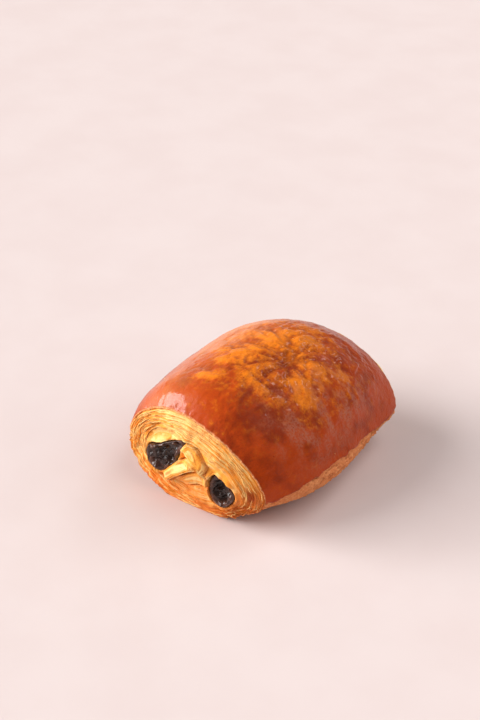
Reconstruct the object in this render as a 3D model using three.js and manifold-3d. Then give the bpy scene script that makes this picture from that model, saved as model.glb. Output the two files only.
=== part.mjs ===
// A pain au chocolat: a short roll of laminated dough, baked until its egg-washed crust is brown,
// with two sticks of dark chocolate that run through it and show at both cut ends.
// Units are millimetres. +Y runs along the roll and the front end faces -Y. The base lies on Z = 0.
import * as THREE from "three";
import { mergeVertices } from "three/addons/utils/BufferGeometryUtils.js";
import Module from "manifold-3d";

// Driving sizes of the roll
const ROLL_WIDTH = 80;
const ROLL_HEIGHT = 48.6;
const CRUST_LENGTH = 76.6; // from the front edge of the crust to the rear edge
const END_BULGE = 5; // how far each laminated end swells out past the crust's edge
const BULGE_POWER = 2.5; // over 2, so that the end is flatter in the middle than at its rim
const WIDEST_HEIGHT = 0.35; // height of the widest line, as a share of the height
const BASE_DIP = 1.08; // over 1, so that the rounded underside is cut flat at the base
const UPPER_ROUNDNESS = 1.86; // 2 is an ellipse, and less is leaner at the shoulders
const LOWER_ROUNDNESS = 2.08;
const END_TUCK = 1.2; // how far the foot of each end draws back under the roll
const FRONT_DRIFT = -3; // the front end lies a little to the left of the middle
const FRONT_YAW = -0.04; // slope of the front edge across the roll, its right side being the nearer
const FRONT_LEAN = { amount: 1.8, angle: -21.5 }; // where the front edge of the crust draws back most

// How much narrower and lower the roll is at each end, and how suddenly
const FRONT = { side: -1, narrow: 0.2, narrowPower: 1.83, drop: 0.19, dropPower: 8, drift: FRONT_DRIFT };
const REAR = { side: 1, narrow: 0.15, narrowPower: 1.63, drop: 0.19, dropPower: 3.1, drift: 0.6 };

// Broad hollows in the crust, with a share under 0 where it swells.
// along is -1 to 1 from front to rear, and angles are degrees round the roll
const HOLLOWS = [
  { along: 0, angle: 76, reachAlong: 0.6, reachAngle: 38, share: -0.05 },
  { along: 0.9, angle: 95, reachAlong: 0.5, reachAngle: 40, share: 0.03 },
  { along: 0.1, angle: 15, reachAlong: 0.7, reachAngle: 25, share: 0.035 },
  { along: 0.45, angle: -15, reachAlong: 0.6, reachAngle: 30, share: 0.03 },
  { along: -1, angle: -35, reachAlong: 0.35, reachAngle: 25, share: 0.09 },
  { along: -1, angle: 60, reachAlong: 0.3, reachAngle: 30, share: 0.027 },
  { along: -1, angle: 215, reachAlong: 0.4, reachAngle: 35, share: 0.09 },
  { along: 0, angle: 200, reachAlong: 0.9, reachAngle: 30, share: -0.04 },
  { along: -0.25, angle: 135, reachAlong: 0.7, reachAngle: 30, share: 0.035 },
];

// The pucker on the crown, from which the crust's wrinkles spread like rays
const PUCKER = { along: -0.02, angle: 74, dimple: 1.6, dimpleReach: 6 };
const RAYS = { count: 7, height: 0.6, start: [3, 9], reach: 24, lowest: 26, full: 38, twist: 2.2, curl: 9 };
const WAVES = { height: 0.35, wavelength: 17, seed: 1.3 };

// The step where the glazed crust ends above the pale foot of the roll
const FOOT = { line: 17.3, step: 0.7, blend: 1.6, wave: 2.6, waveReach: 13, waveStart: 1.85, leftShift: 2 };

// Layers of dough at each end: the rows across one leaf, from its outer side inwards
const LEAF_COUNT = 5;
const LEAF_PROFILE = [
  { share: 0.25, height: 0.65 },
  { share: 0.6, height: 0.3 },
  { share: 0.95, height: -0.65 },
];
const LEAF_WANDER = 0.035; // how far a leaf strays from an even ring, as a share of all the leaves
const CRUST_LIP = 0.7; // how far the crust's edge stands out past the first leaf
const EYE = { x: 0, z: 18.8, halfWidth: 21.5, halfHeight: 12, tilt: -11 };
const EYE_RECESS = 0.3;
const EYE_SHARE = 0.62; // the eye's edge, as a share of the way from the middle of the end to its rim

// Folds of dough between the two sticks: ridges from one point to another, in the plane of the end
const FRONT_FOLDS = [
  { from: [-10, 12.5], to: [1.5, 22.5], halfWidth: 2.6, height: 2.2 },
  { from: [-1.5, 28.5], to: [5.5, 22.5], halfWidth: 2.4, height: 1.6 },
  { from: [-8, 9], to: [9, 6.3], halfWidth: 1.8, height: 0.9 },
  { from: [8, 23.2], to: [9.5, 22.4], halfWidth: 1.7, height: -1.8 },
  { from: [-4.2, 22.8], to: [-3.2, 22], halfWidth: 1.5, height: -1.5 },
];
const REAR_FOLDS = [
  { from: [-5, 23.5], to: [5, 15.5], halfWidth: 2.8, height: 1.8 },
  { from: [-9, 10], to: [8, 9], halfWidth: 2, height: 0.9 },
];

// Mesh resolution
const AROUND = 66;
const CROWN_BIAS = 5; // degrees by which the points draw together over the crown
const CRUST_ROWS = 24;
const ROW_CROWDING = 0.35; // 0 for even rows, more draws them together towards the ends
const FRONT_EYE_ROWS = 8;
const REAR_EYE_ROWS = 4;

// Outlines of the chocolate where it shows, in the plane of the end: x, z
const LEFT_FRONT = [
  [-20.4, 15.9], [-20.1, 21.1], [-15.7, 23.4], [-11.3, 26.2], [-5.6, 29.4], [-2.4, 30.4],
  [-4, 27.5], [-6.7, 21.1], [-10.8, 16], [-15.2, 12.5], [-18.7, 13.3],
];
const RIGHT_FRONT = [
  [7.4, 16.3], [8.3, 20], [10.8, 21.9], [14.1, 20.6], [16.5, 18.4], [18, 15.7],
  [16.5, 12.1], [13.2, 8.9], [9.8, 9.4], [7.6, 12.6],
];
const STICK_WIDTH = 11;
const STICK_HEIGHT = 7.5;
const STICK_ROUNDNESS = 3.2;
const LEFT_REAR = { x: -13, z: 17.5, turn: 14 };
const RIGHT_REAR = { x: 12.5, z: 17, turn: -8 };
const STICK_ROWS = 8;
const STICK_RECESS = 0.5; // the chocolate sits this far inside the dough's end
const STICK_CROWN = { height: 1.1, rings: [0.85, 0.55, 0.25] };
const STICK_CRAGS = { height: 0.55, wavelength: 5, seed: 2.1 };
const STICK_BLEND = [-0.45, -0.15]; // along the roll, where a squashed front end turns into a plain bar
const CHANNEL_GAP = 0.3;
const CHANNEL_OVERRUN = 12;

const radians = THREE.MathUtils.degToRad;
const { clamp, lerp, smoothstep } = THREE.MathUtils;

// A falling bell curve, 1 at the middle
function bell(distance, reach) {
  return Math.exp(-((distance / reach) ** 2));
}

// Smallest difference between two angles in degrees
function turnBetween(a, b) {
  return ((((a - b + 180) % 360) + 360) % 360) - 180;
}

// A smooth, repeatable unevenness between -1 and 1
function uneven(x, y, z, wavelength, seed) {
  const k = (2 * Math.PI) / wavelength;
  const a = Math.sin(k * (x + 0.31 * y) + seed) + Math.sin(k * (0.83 * y - 0.42 * z) + 1.7 * seed);
  const b = Math.sin(k * (0.94 * z + 0.57 * x) + 2.3 * seed) + Math.sin(k * 1.9 * (0.5 * x - 0.6 * y) + seed);
  return (a + b) / 4;
}

// Half the width, the height and the sideways drift of the roll at a place along it
function rollAt(along) {
  const end = along < 0 ? FRONT : REAR;
  const t = Math.abs(along);
  const drop = end.drop * t ** end.dropPower;
  return {
    halfWidth: (ROLL_WIDTH / 2) * (1 - end.narrow * t ** end.narrowPower),
    crown: ROLL_HEIGHT * (1 - drop),
    middle: ROLL_HEIGHT * WIDEST_HEIGHT * (1 - drop / 2),
    drift: end.drift * t ** 2,
  };
}

// The plain form of the roll, before its relief
function rollPoint(along, angle) {
  const { halfWidth, crown, middle, drift } = rollAt(along);
  const cos = Math.cos(radians(angle));
  const sin = Math.sin(radians(angle));
  const power = sin >= 0 ? UPPER_ROUNDNESS : LOWER_ROUNDNESS;
  let reach = (Math.abs(cos) ** power + Math.abs(sin) ** power) ** (-1 / power);
  let share = 1;
  for (const h of HOLLOWS) {
    share -= h.share * bell(along - h.along, h.reachAlong) * bell(turnBetween(angle, h.angle), h.reachAngle);
  }
  reach *= share;
  const rise = sin >= 0 ? (crown - middle) * reach * sin : middle * BASE_DIP * reach * sin;
  const z = middle + rise;
  const foot = clamp((middle - z) / middle, 0, 1);
  const tuck = END_TUCK * foot ** 1.5 * Math.abs(along) ** 4 * Math.sign(along);
  const aside = halfWidth * reach * cos;
  const lean = FRONT_LEAN.amount * Math.cos(2 * radians(angle - FRONT_LEAN.angle));
  const slant = along < 0 ? (FRONT_YAW * aside + lean) * Math.abs(along) ** 3 : 0;
  return new THREE.Vector3(drift + aside, (along * CRUST_LENGTH) / 2 - tuck + slant, z);
}

// Relief of the crust: rays and dimple of the pucker, the step above the foot, and gentle waves
function crustRelief(point, along, angle) {
  const centre = rollPoint(PUCKER.along, PUCKER.angle);
  const dx = point.x - centre.x;
  const dy = point.y - centre.y;
  const far = Math.hypot(dx, dy, point.z - centre.z);
  const heading = Math.atan2(dy, dx);
  const rays = Math.sin(RAYS.count * heading + RAYS.twist * Math.sin(2 * heading + 0.6) + far / RAYS.curl);
  const upward = smoothstep(point.z, RAYS.lowest, RAYS.full);
  const rayHeight = RAYS.height * rays * smoothstep(far, ...RAYS.start) * bell(far, RAYS.reach) * upward;
  const dimple = -PUCKER.dimple * bell(far, PUCKER.dimpleReach);
  const waveStart = FOOT.waveStart + (Math.cos(radians(angle)) < 0 ? FOOT.leftShift : 0);
  const footLine = FOOT.line + FOOT.wave * Math.sin(point.y / FOOT.waveReach + waveStart);
  const foot = -FOOT.step * smoothstep(footLine - point.z, 0, FOOT.blend) * smoothstep(point.z, 0, 5);
  const uneasy = uneven(point.x, point.y, point.z, WAVES.wavelength, WAVES.seed);
  const waves = WAVES.height * uneasy * smoothstep(point.z, 2, 10);
  return rayHeight + dimple + foot + waves;
}

// A point of the crust, moved out by its relief
function crustPoint(along, angle) {
  const plain = rollPoint(along, angle);
  const { middle, drift } = rollAt(along);
  const out = new THREE.Vector3(plain.x - drift, 0, plain.z - middle).normalize();
  const point = plain.clone().addScaledVector(out, crustRelief(plain, along, angle));
  point.z = Math.max(point.z, 0);
  return point;
}

// A point of the eye: the oval that holds both sticks, inside the rings of dough
function eyePoint(end, angle) {
  const tilt = radians(end.side < 0 ? EYE.tilt : -EYE.tilt / 2);
  const u = EYE.halfWidth * Math.cos(radians(angle));
  const v = EYE.halfHeight * Math.sin(radians(angle));
  const x = EYE.x + u * Math.cos(tilt) - v * Math.sin(tilt);
  const z = EYE.z + u * Math.sin(tilt) + v * Math.cos(tilt);
  return new THREE.Vector2(x + end.drift / 4, z);
}

// Height of the folds at a point in the plane of the end
function foldRelief(folds, x, z) {
  let height = 0;
  for (const fold of folds) {
    const [x0, z0] = fold.from;
    const [x1, z1] = fold.to;
    const length2 = (x1 - x0) ** 2 + (z1 - z0) ** 2;
    const share = clamp(((x - x0) * (x1 - x0) + (z - z0) * (z1 - z0)) / length2, 0, 1);
    const away = Math.hypot(x - lerp(x0, x1, share), z - lerp(z0, z1, share));
    height += fold.height * bell(away, fold.halfWidth);
  }
  return height;
}

// How far the end swells out, from 0 at the rim to all of the bulge in the middle
function swell(share) {
  return END_BULGE * (1 - share ** BULGE_POWER);
}

// A point of a laminated end, standing out by its leaf's height.
// inward runs from 0 at the crust's edge to 1 at the eye and 2 at its middle
function endPoint(end, { inward, height }, angle) {
  const rim = crustPoint(end.side, angle);
  const eye = eyePoint(end, angle);
  const across = Math.min(inward, 1);
  const drifting = 4 * across * (1 - across);
  const wander = LEAF_WANDER * drifting * Math.sin(radians(3 * angle) + 5 * across + end.side);
  const ring = across + wander;
  const hole = Math.max(inward - 1, 0);
  const eyeCentre = new THREE.Vector2(EYE.x + end.drift / 4, EYE.z);
  const x = inward <= 1 ? lerp(rim.x, eye.x, ring) : lerp(eye.x, eyeCentre.x, hole);
  const z = inward <= 1 ? lerp(rim.z, eye.y, ring) : lerp(eye.y, eyeCentre.y, hole);
  const share = inward <= 1 ? lerp(1, EYE_SHARE, ring) : lerp(EYE_SHARE, 0, hole);
  const lip = CRUST_LIP * smoothstep(ring, 0, 0.06);
  const recess = EYE_RECESS * smoothstep(inward, 0.95, 1.15);
  const folds = foldRelief(end.side < 0 ? FRONT_FOLDS : REAR_FOLDS, x, z) * smoothstep(inward, 0.85, 1.1);
  const out = swell(share) + height + folds - recess - lip;
  const y = lerp(rim.y, (end.side * CRUST_LENGTH) / 2, 1 - share) + end.side * out;
  return new THREE.Vector3(x, y, z);
}

// A closed surface through rings of points, with a single point at each end
function closedSurface(first, rings, last) {
  const position = [first, ...rings.flat(), last].flatMap((p) => [p.x, p.y, p.z]);
  const around = rings[0].length;
  const lastIndex = 1 + rings.length * around;
  const index = [];
  for (let i = 0; i < around; i++) {
    const j = (i + 1) % around;
    index.push(0, 1 + i, 1 + j);
    for (let r = 0; r < rings.length - 1; r++) {
      const a = 1 + r * around + i;
      const b = 1 + r * around + j;
      index.push(a, a + around, b, b, a + around, b + around);
    }
    const base = 1 + (rings.length - 1) * around;
    index.push(base + i, lastIndex, base + j);
  }
  const geometry = new THREE.BufferGeometry();
  geometry.setAttribute("position", new THREE.Float32BufferAttribute(position, 3));
  geometry.setIndex(index);
  return geometry;
}

// Angles round the roll, closer together over the crown than under the flat base
function anglesAround() {
  return Array.from({ length: AROUND }, (_, i) => {
    const even = (360 * i) / AROUND;
    return even - CROWN_BIAS * Math.sin(radians(even - 90));
  });
}

// Rows of a laminated end from the crust's edge to the middle of its eye
function endRows(eyeRows) {
  const rows = [];
  for (let leaf = 0; leaf < LEAF_COUNT; leaf++) {
    for (const { share, height } of LEAF_PROFILE) {
      rows.push({ inward: (leaf + share) / LEAF_COUNT, height });
    }
  }
  for (let i = 0; i < eyeRows; i++) {
    rows.push({ inward: 1 + (i + 0.4) / eyeRows, height: 0 });
  }
  return rows;
}

// The whole roll of dough: front end from its middle out, crust, rear end back to its middle
function doughGeometry() {
  const angles = anglesAround();
  const ring = (pointAt) => angles.map(pointAt);
  const front = endRows(FRONT_EYE_ROWS).map((row) => ring((angle) => endPoint(FRONT, row, angle))).reverse();
  const rear = endRows(REAR_EYE_ROWS).map((row) => ring((angle) => endPoint(REAR, row, angle)));
  const crust = [];
  for (let i = 0; i <= CRUST_ROWS; i++) {
    const even = -1 + (2 * i) / CRUST_ROWS;
    const along = lerp(even, Math.sin((even * Math.PI) / 2), ROW_CROWDING);
    crust.push(ring((angle) => crustPoint(along, angle)));
  }
  const middle = { inward: 2, height: 0 };
  return closedSurface(endPoint(FRONT, middle, 0), [...front, ...crust, ...rear], endPoint(REAR, middle, 0));
}

// The outline of a stick at its rear end: a rounded bar, in step with the points of its front outline
function barOutline(bar, front) {
  const middle = front.reduce(([x, z], [px, pz]) => [x + px / front.length, z + pz / front.length], [0, 0]);
  return front.map(([px, pz]) => {
    const angle = Math.atan2(pz - middle[1], px - middle[0]) - radians(bar.turn);
    const cos = Math.cos(angle);
    const sin = Math.sin(angle);
    const wide = Math.abs((2 * cos) / STICK_WIDTH) ** STICK_ROUNDNESS;
    const tall = Math.abs((2 * sin) / STICK_HEIGHT) ** STICK_ROUNDNESS;
    const reach = (wide + tall) ** (-1 / STICK_ROUNDNESS);
    const turned = angle + radians(bar.turn);
    return [bar.x + reach * Math.cos(turned), bar.z + reach * Math.sin(turned)];
  });
}

// A smooth closed curve through an outline, grown outwards by a margin
function smoothOutline(outline, margin) {
  const points = outline.map(([x, z]) => new THREE.Vector3(x, 0, z));
  const curve = new THREE.CatmullRomCurve3(points, true, "centripetal");
  const count = outline.length * 2;
  return Array.from({ length: count }, (_, i) => {
    const here = curve.getPoint(i / count);
    const along = curve.getTangent(i / count);
    const outward = new THREE.Vector3(-along.z, 0, along.x);
    return here.addScaledVector(outward, margin);
  });
}

// Depth of the end's surface in the eye, where a stick meets it
function endDepth(side) {
  return side * (CRUST_LENGTH / 2 + swell(0.35) - EYE_RECESS - CRUST_LIP - STICK_RECESS);
}

// A stick of chocolate, or with a margin and overrun the channel that it lies in
function stickGeometry(frontOutline, bar, margin, overrun) {
  const front = smoothOutline(frontOutline, margin);
  const rear = smoothOutline(barOutline(bar, frontOutline), margin);
  const rings = [];
  const ringAt = (y) => {
    const blend = smoothstep(y / CRUST_LENGTH, ...STICK_BLEND);
    rings.push(front.map((p, k) => new THREE.Vector3().lerpVectors(p, rear[k], blend).setY(y)));
  };
  if (overrun) {
    ringAt(endDepth(-1) - overrun);
  }
  for (let i = 0; i <= STICK_ROWS; i++) {
    ringAt(lerp(endDepth(-1), endDepth(1), i / STICK_ROWS));
  }
  if (overrun) {
    ringAt(endDepth(1) + overrun);
  }
  const middleOf = (ring) => {
    const sum = ring.reduce((total, p) => total.add(p), new THREE.Vector3());
    return sum.divideScalar(ring.length);
  };
  const capped = (ring, side) => {
    const middle = middleOf(ring);
    const inner = STICK_CROWN.rings.map((share) =>
      ring.map((p) => {
        const q = middle.clone().lerp(p, share);
        const rough = uneven(q.x, 3 * side, q.z, STICK_CRAGS.wavelength, STICK_CRAGS.seed);
        const crag = overrun ? 0 : STICK_CRAGS.height * rough;
        return q.setY(q.y + side * (STICK_CROWN.height * (1 - share) + crag));
      }),
    );
    return { inner, tip: middle.clone().setY(middle.y + side * STICK_CROWN.height) };
  };
  const start = capped(rings[0], -1);
  const finish = capped(rings[rings.length - 1], 1);
  const all = [...start.inner.reverse(), ...rings, ...finish.inner];
  return closedSurface(start.tip, all, finish.tip);
}

const wasm = await Module();
wasm.setup();

// A three.js geometry as a manifold-3d solid
function solidOf(geometry) {
  const merged = mergeVertices(geometry, 1e-4);
  const triVerts = new Uint32Array(merged.index.array);
  const vertProperties = merged.attributes.position.array;
  const solid = new wasm.Manifold(new wasm.Mesh({ numProp: 3, vertProperties, triVerts }));
  if (solid.volume() > 0) {
    return solid;
  }
  const flipped = triVerts.slice();
  for (let i = 0; i < flipped.length; i += 3) {
    [flipped[i + 1], flipped[i + 2]] = [flipped[i + 2], flipped[i + 1]];
  }
  return new wasm.Manifold(new wasm.Mesh({ numProp: 3, vertProperties, triVerts: flipped }));
}

// A manifold-3d solid as a three.js geometry
function geometryOf(solid) {
  const { vertProperties, triVerts, numProp } = solid.getMesh();
  const geometry = new THREE.BufferGeometry();
  const position = [];
  for (let i = 0; i < vertProperties.length; i += numProp) {
    position.push(vertProperties[i], vertProperties[i + 1], vertProperties[i + 2]);
  }
  geometry.setAttribute("position", new THREE.Float32BufferAttribute(position, 3));
  geometry.setIndex(Array.from(triVerts));
  geometry.computeVertexNormals();
  return geometry;
}

const crustMaterial = new THREE.MeshStandardMaterial({ color: 0xa8501c, roughness: 0.38, metalness: 0 });
const chocolateMaterial = new THREE.MeshStandardMaterial({ color: 0x35211d, roughness: 0.35, metalness: 0 });

const roll = new THREE.Group();
const sticks = [
  { name: "chocolate_left", outline: LEFT_FRONT, bar: LEFT_REAR },
  { name: "chocolate_right", outline: RIGHT_FRONT, bar: RIGHT_REAR },
];

let dough = solidOf(doughGeometry());
for (const { name, outline, bar } of sticks) {
  dough = dough.subtract(solidOf(stickGeometry(outline, bar, CHANNEL_GAP, CHANNEL_OVERRUN)));
  const chocolate = solidOf(stickGeometry(outline, bar, 0, 0));
  const stick = new THREE.Mesh(geometryOf(chocolate), chocolateMaterial.clone());
  stick.name = name;
  roll.add(stick);
}
const pastry = new THREE.Mesh(geometryOf(dough), crustMaterial);
pastry.name = "pastry";
roll.add(pastry);

// The origin is the middle of the base, under the middle of the whole roll
const extent = new THREE.Box3().setFromObject(roll);
const middle = extent.getCenter(new THREE.Vector3());
roll.position.set(-middle.x, -middle.y, -extent.min.z);

export default roll;
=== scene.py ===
import math

import bpy
import numpy as np
from bpy.props import FloatProperty, FloatVectorProperty, IntProperty, PointerProperty
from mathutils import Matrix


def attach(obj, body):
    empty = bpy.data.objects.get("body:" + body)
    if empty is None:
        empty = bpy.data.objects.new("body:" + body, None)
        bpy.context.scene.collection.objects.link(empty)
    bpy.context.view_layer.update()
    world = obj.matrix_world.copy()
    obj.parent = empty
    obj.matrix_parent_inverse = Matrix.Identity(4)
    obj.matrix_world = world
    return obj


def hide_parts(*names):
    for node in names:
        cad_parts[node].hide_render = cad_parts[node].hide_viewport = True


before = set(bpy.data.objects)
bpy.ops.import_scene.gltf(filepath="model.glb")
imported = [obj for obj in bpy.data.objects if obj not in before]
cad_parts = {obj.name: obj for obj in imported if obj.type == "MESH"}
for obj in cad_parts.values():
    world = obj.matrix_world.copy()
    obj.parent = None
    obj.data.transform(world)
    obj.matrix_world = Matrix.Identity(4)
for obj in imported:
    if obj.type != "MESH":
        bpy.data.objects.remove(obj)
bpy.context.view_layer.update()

bl_info = {
    "name": "Pain au Chocolat",
    "version": (1, 0, 0),
    "blender": (4, 5, 0),
    "location": "View3D > Sidebar > Pastry",
    "description": "Bakes a pain au chocolat: crust, laminated ends, chocolate sticks and crumbs",
    "category": "Object",
}

# The box of the whole roll, before any piece replaces a solid
BODY = "root"
MM = 0.001

# Sizes of the roll, the same as those of the solids
ROLL_WIDTH = 80 * MM
ROLL_HEIGHT = 48.6 * MM
CRUST_LENGTH = 76.6 * MM
END_BULGE = 5 * MM
BULGE_POWER = 2.5
WIDEST_HEIGHT = 0.35
BASE_DIP = 1.08
UPPER_ROUNDNESS = 1.86
LOWER_ROUNDNESS = 2.08
END_TUCK = 1.2 * MM
FRONT_YAW = -0.04
FRONT_LEAN = 1.8 * MM
FRONT_LEAN_ANGLE = -21.5
FRONT = {
    "side": -1, "narrow": 0.2, "narrow_power": 1.83, "drop": 0.19, "drop_power": 8, "drift": -3 * MM,
}
REAR = {
    "side": 1, "narrow": 0.15, "narrow_power": 1.63, "drop": 0.19, "drop_power": 3.1, "drift": 0.6 * MM,
}

# From the middle of the crust to the middle of the whole roll's box
ROLL_SHIFT = np.array([1.3, 0.73, 0]) * MM

# Broad hollows: place along the roll, angle round it, reach along, reach round, share of the radius
HOLLOWS = [
    (0, 76, 0.6, 38, -0.05),
    (0.9, 95, 0.5, 40, 0.03),
    (0.1, 15, 0.7, 25, 0.035),
    (0.45, -15, 0.6, 30, 0.03),
    (-1, -35, 0.35, 25, 0.09),
    (-1, 60, 0.3, 30, 0.027),
    (-1, 215, 0.4, 35, 0.09),
    (0, 200, 0.9, 30, -0.04),
    (-0.25, 135, 0.7, 30, 0.035),
]

# The pucker on the crown, where the wrinkles of the crust start
PUCKER_ALONG = -0.02
PUCKER_ANGLE = 74
PUCKER_DEPTH = 1.3 * MM
PUCKER_REACH = 5 * MM

# Rays of wrinkles: how many fit round the pucker, their length in millimetres, seed and share
RAYS = [(1.5, 26, 2, 1), (3.6, 9, 3, 0.8), (8, 6, 18, 0.75), (15, 4.5, 19, 0.55)]
RAY_SWIRL = 0.35
CROWN_RISE = (24 * MM, 38 * MM)
CROWN_REACH = 30 * MM

# The pale foot of the roll, under the glazed crust
FOOT_LINE = 17.3 * MM
FOOT_STEP = 0.7 * MM
FOOT_WAVE = 2.6 * MM
FOOT_WAVE_REACH = 13 * MM
FOOT_WAVE_START = 1.85
FOOT_LEFT_SHIFT = 2
FOOT_RAGGED = 1.3 * MM

# Relief of the crust
CREASE_WARP = 1.5 * MM
CREASE_WIDTH = 0.85
CREASE_DEPTH = 1 * MM
AMBER_WIDTH = 1.3
AMBER_RISE = 0.4 * MM
HEM_RISE = 0.3 * MM
SHRED_RISE = 0.65 * MM
PIT_DEPTH = 0.9 * MM
WAVE_RISE = 0.45 * MM
RIM_RAGGED = 0.55 * MM
PORE_SCALE = 260.0
BLISTER_SCALE = 130.0

# Areas of the crust's colours and of its painted sheens, in plan: middle and reach; or round the roll:
# angle and reach
AMBER_CROWN = (8, -1, 25, 27)
DARK_PATCH = (18, -27, 11, 11)
LIGHT_PATCH = (3, -33, 10, 10)
HAZE_TURN = 34
LEFT_SHEEN_TURN = 124
SIDE_REACH = 24

# Thin bright patches of glaze on the crown, in plan: from x, y to x, y, half width, strength
AMBER_PATCHES = [
    ((-7.5, -25.5), (-2.5, -23.5), 2.2, 0.9),
    ((-4, -10), (-2, -4), 2.4, 0.8),
    ((-7, -16), (-4, -14), 1.6, 0.6),
    ((-2.5, 5.5), (4.5, 4.5), 2.6, 1.0),
    ((7, 3), (10.5, 1.5), 1.8, 0.8),
    ((8, 12), (11, 14.5), 2.4, 0.9),
    ((2, 12), (5, 16), 1.8, 0.7),
    ((18, 4.5), (22, 3), 2.0, 0.6),
    ((19.5, -9), (22, -5.5), 2.4, 1.0),
    ((6.5, -18.5), (12.5, -20.5), 1.7, 0.8),
    ((12.5, -20.5), (19.5, -20), 1.9, 1.0),
    ((24, -12.5), (25.5, -9), 1.9, 0.8),
    ((25, 9), (26.5, 12), 2.2, 0.5),
    ((-12, 4), (-8, 8), 2.4, 0.6),
    ((-16, -8), (-11, -9), 2.2, 0.6),
    ((0, 22), (6, 24), 2.2, 0.6),
    ((-14, 16), (-8, 19), 2.2, 0.5),
]

# Creases that run in to the pucker, in plan: from x, y to x, y, half width, depth
CREASES = [
    ((-9, -5.5), (5.9, -5.3), 1.1, 0.5),
    ((5.9, -5.3), (12.1, -1.9), 1.3, 0.7),
    ((4.1, 12), (11, 0), 1.2, 0.6),
    ((10.6, -13), (12.1, -2), 1.2, 0.6),
    ((17.5, -11), (12.6, -2), 1.4, 0.7),
    ((9, -17), (16, -17.5), 1.0, 0.5),
    ((16, -17.5), (18.5, -12), 1.0, 0.5),
    ((21.4, -3.8), (13, -1), 1.3, 0.6),
    ((25.5, -3.5), (21, -1), 1.2, 0.45),
    ((26, 17), (14, 2), 1.3, 0.55),
    ((12, 18), (12, 2), 1.2, 0.5),
    ((-12, 3), (8, 0), 1.2, 0.45),
    ((-8, 14), (6, 4), 1.2, 0.45),
    ((-2, -17), (8, -7), 1.1, 0.4),
]

# The oval at each end that holds both sticks, inside the rings of dough
EYE_X = 0.0
EYE_Z = 18.8 * MM
EYE_HALF_WIDTH = 21.5 * MM
EYE_HALF_HEIGHT = 12 * MM
EYE_TILT = -11
EYE_RECESS = 0.3 * MM
EYE_SHARE = 0.62
CRUST_LIP = 0.7 * MM

# Relief of the laminated ends, and widths of the fine leaves in the eye
RING_RADIUS = 26 * MM
LEAF_LIFT = 0.55 * MM
LEAF_CRUMPLE = 0.3 * MM
LUMP_RISE = 0.6 * MM
BRIM_RISE = 0.75 * MM
MOAT_DEPTH = 1.1 * MM
POCKET_DEPTH = 7 * MM
EYE_BLEND = 1.2 * MM
BENT_LEAF = 0.8 * MM
RING_LEAF = 0.85 * MM
FLAP_LEAF = 0.6 * MM
FLAP_COVER = 0.3

# Folds of dough between the sticks: from x, z to x, z, half width, height
FRONT_FOLDS = [
    ((-10, 12.5), (1.5, 22.5), 2.6, 2.2),
    ((-1.5, 28.5), (5.5, 22.5), 2.4, 1.6),
    ((-8, 9), (9, 6.3), 1.8, 0.9),
    ((8, 23.2), (9.5, 22.4), 1.7, -1.8),
    ((-4.2, 22.8), (-3.2, 22), 1.5, -1.5),
]
REAR_FOLDS = [
    ((-5, 23.5), (5, 15.5), 2.8, 1.8),
    ((-9, 10), (8, 9), 2, 0.9),
]

# Leaves of dough that lie over their neighbours in the eye: outline in x, z, rise, grain's angle
FRONT_FLAPS = [
    (
        [(-4.6, 27.4), (-2.2, 29.6), (0.4, 30.4), (3.6, 28.3), (6.6, 24.6), (6, 20.8), (3.6, 21.6),
         (0.2, 24.6)],
        1.3, -35,
    ),
    (
        [(-11.6, 10), (-11.8, 14.8), (-7.6, 19.6), (-2, 23.2), (2.2, 24), (3.6, 22), (-1.2, 18.8),
         (-6.6, 14.2)],
        1.6, 40,
    ),
    ([(-6.8, 14), (-1, 18.4), (3.6, 20.6), (7, 18.4), (7, 15), (2.6, 14.6), (-3, 12)], 0.6, 20),
]
REAR_FLAPS = [
    (
        [(-6.5, 11), (-4.8, 15), (-3, 19.4), (0.6, 23.4), (4.2, 25.8), (6.8, 24.4), (6, 20.6),
         (3.6, 16.2), (0.2, 12.6), (-3, 9.6), (-5.8, 8.8)],
        0.8, 50,
    ),
]

# A red spot and a pale fleck on the front end: middle in x, z and reach both ways
RED_SPOT = (23.8, 17.6, 1.6, 1.6 * 1.4)
PALE_FLECK = (-1.6, 4.6, 1.7, 1.7 / 1.5)

# Outlines of the chocolate where it shows at the front: x, z
LEFT_FRONT = [
    (-20.4, 15.9), (-20.1, 21.1), (-15.7, 23.4), (-11.3, 26.2), (-5.6, 29.4), (-2.4, 30.4),
    (-4, 27.5), (-6.7, 21.1), (-10.8, 16), (-15.2, 12.5), (-18.7, 13.3),
]
RIGHT_FRONT = [
    (7.4, 16.3), (8.3, 20), (10.8, 21.9), (14.1, 20.6), (16.5, 18.4), (18, 15.7),
    (16.5, 12.1), (13.2, 8.9), (9.8, 9.4), (7.6, 12.6),
]
STICK_WIDTH = 11
STICK_HEIGHT = 7.5
STICK_ROUNDNESS = 3.2
LEFT_REAR = (-13, 17.5, 14)
RIGHT_REAR = (12.5, 17, -8)
STICK_BLEND = (-0.45, -0.15)
STICK_RECESS = 0.5 * MM
STICK_SHARE = 0.35
CAP_SHARES = (0.985, 0.02)
FACE_HOLLOW = 1.2 * MM
FACE_BRIM = 0.8 * MM
STICKS = {
    "chocolate_left": (LEFT_FRONT, LEFT_REAR),
    "chocolate_right": (RIGHT_FRONT, RIGHT_REAR),
}

# Walls behind a rim, ring by ring: millimetres in from the rim, and away from the end
CRUST_WALL = [(0.35, 0.06), (0.55, 0.5), (1.5, 8), (6, 9), (14, 9)]
END_WALL = [(0.25, 0.8), (0.9, 7), (6, 7.8), (14, 7.8)]

# Loose leaves on each end: degrees they reach, place between crust and eye, and lift in millimetres
LOOSE_COUNT = 95
LOOSE_TURNS = (9, 46)
LOOSE_RINGS = (0.06, 0.98)
LOOSE_LIFTS = (0.5, 1.15)
LOOSE_STEP = 1.2
LOOSE_ROOT = 0.35 * MM
LOOSE_CRUMPLE = 0.4 * MM
LOOSE_TOAST = 0.3
MERGE_DISTANCE = 0.001 * MM

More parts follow.
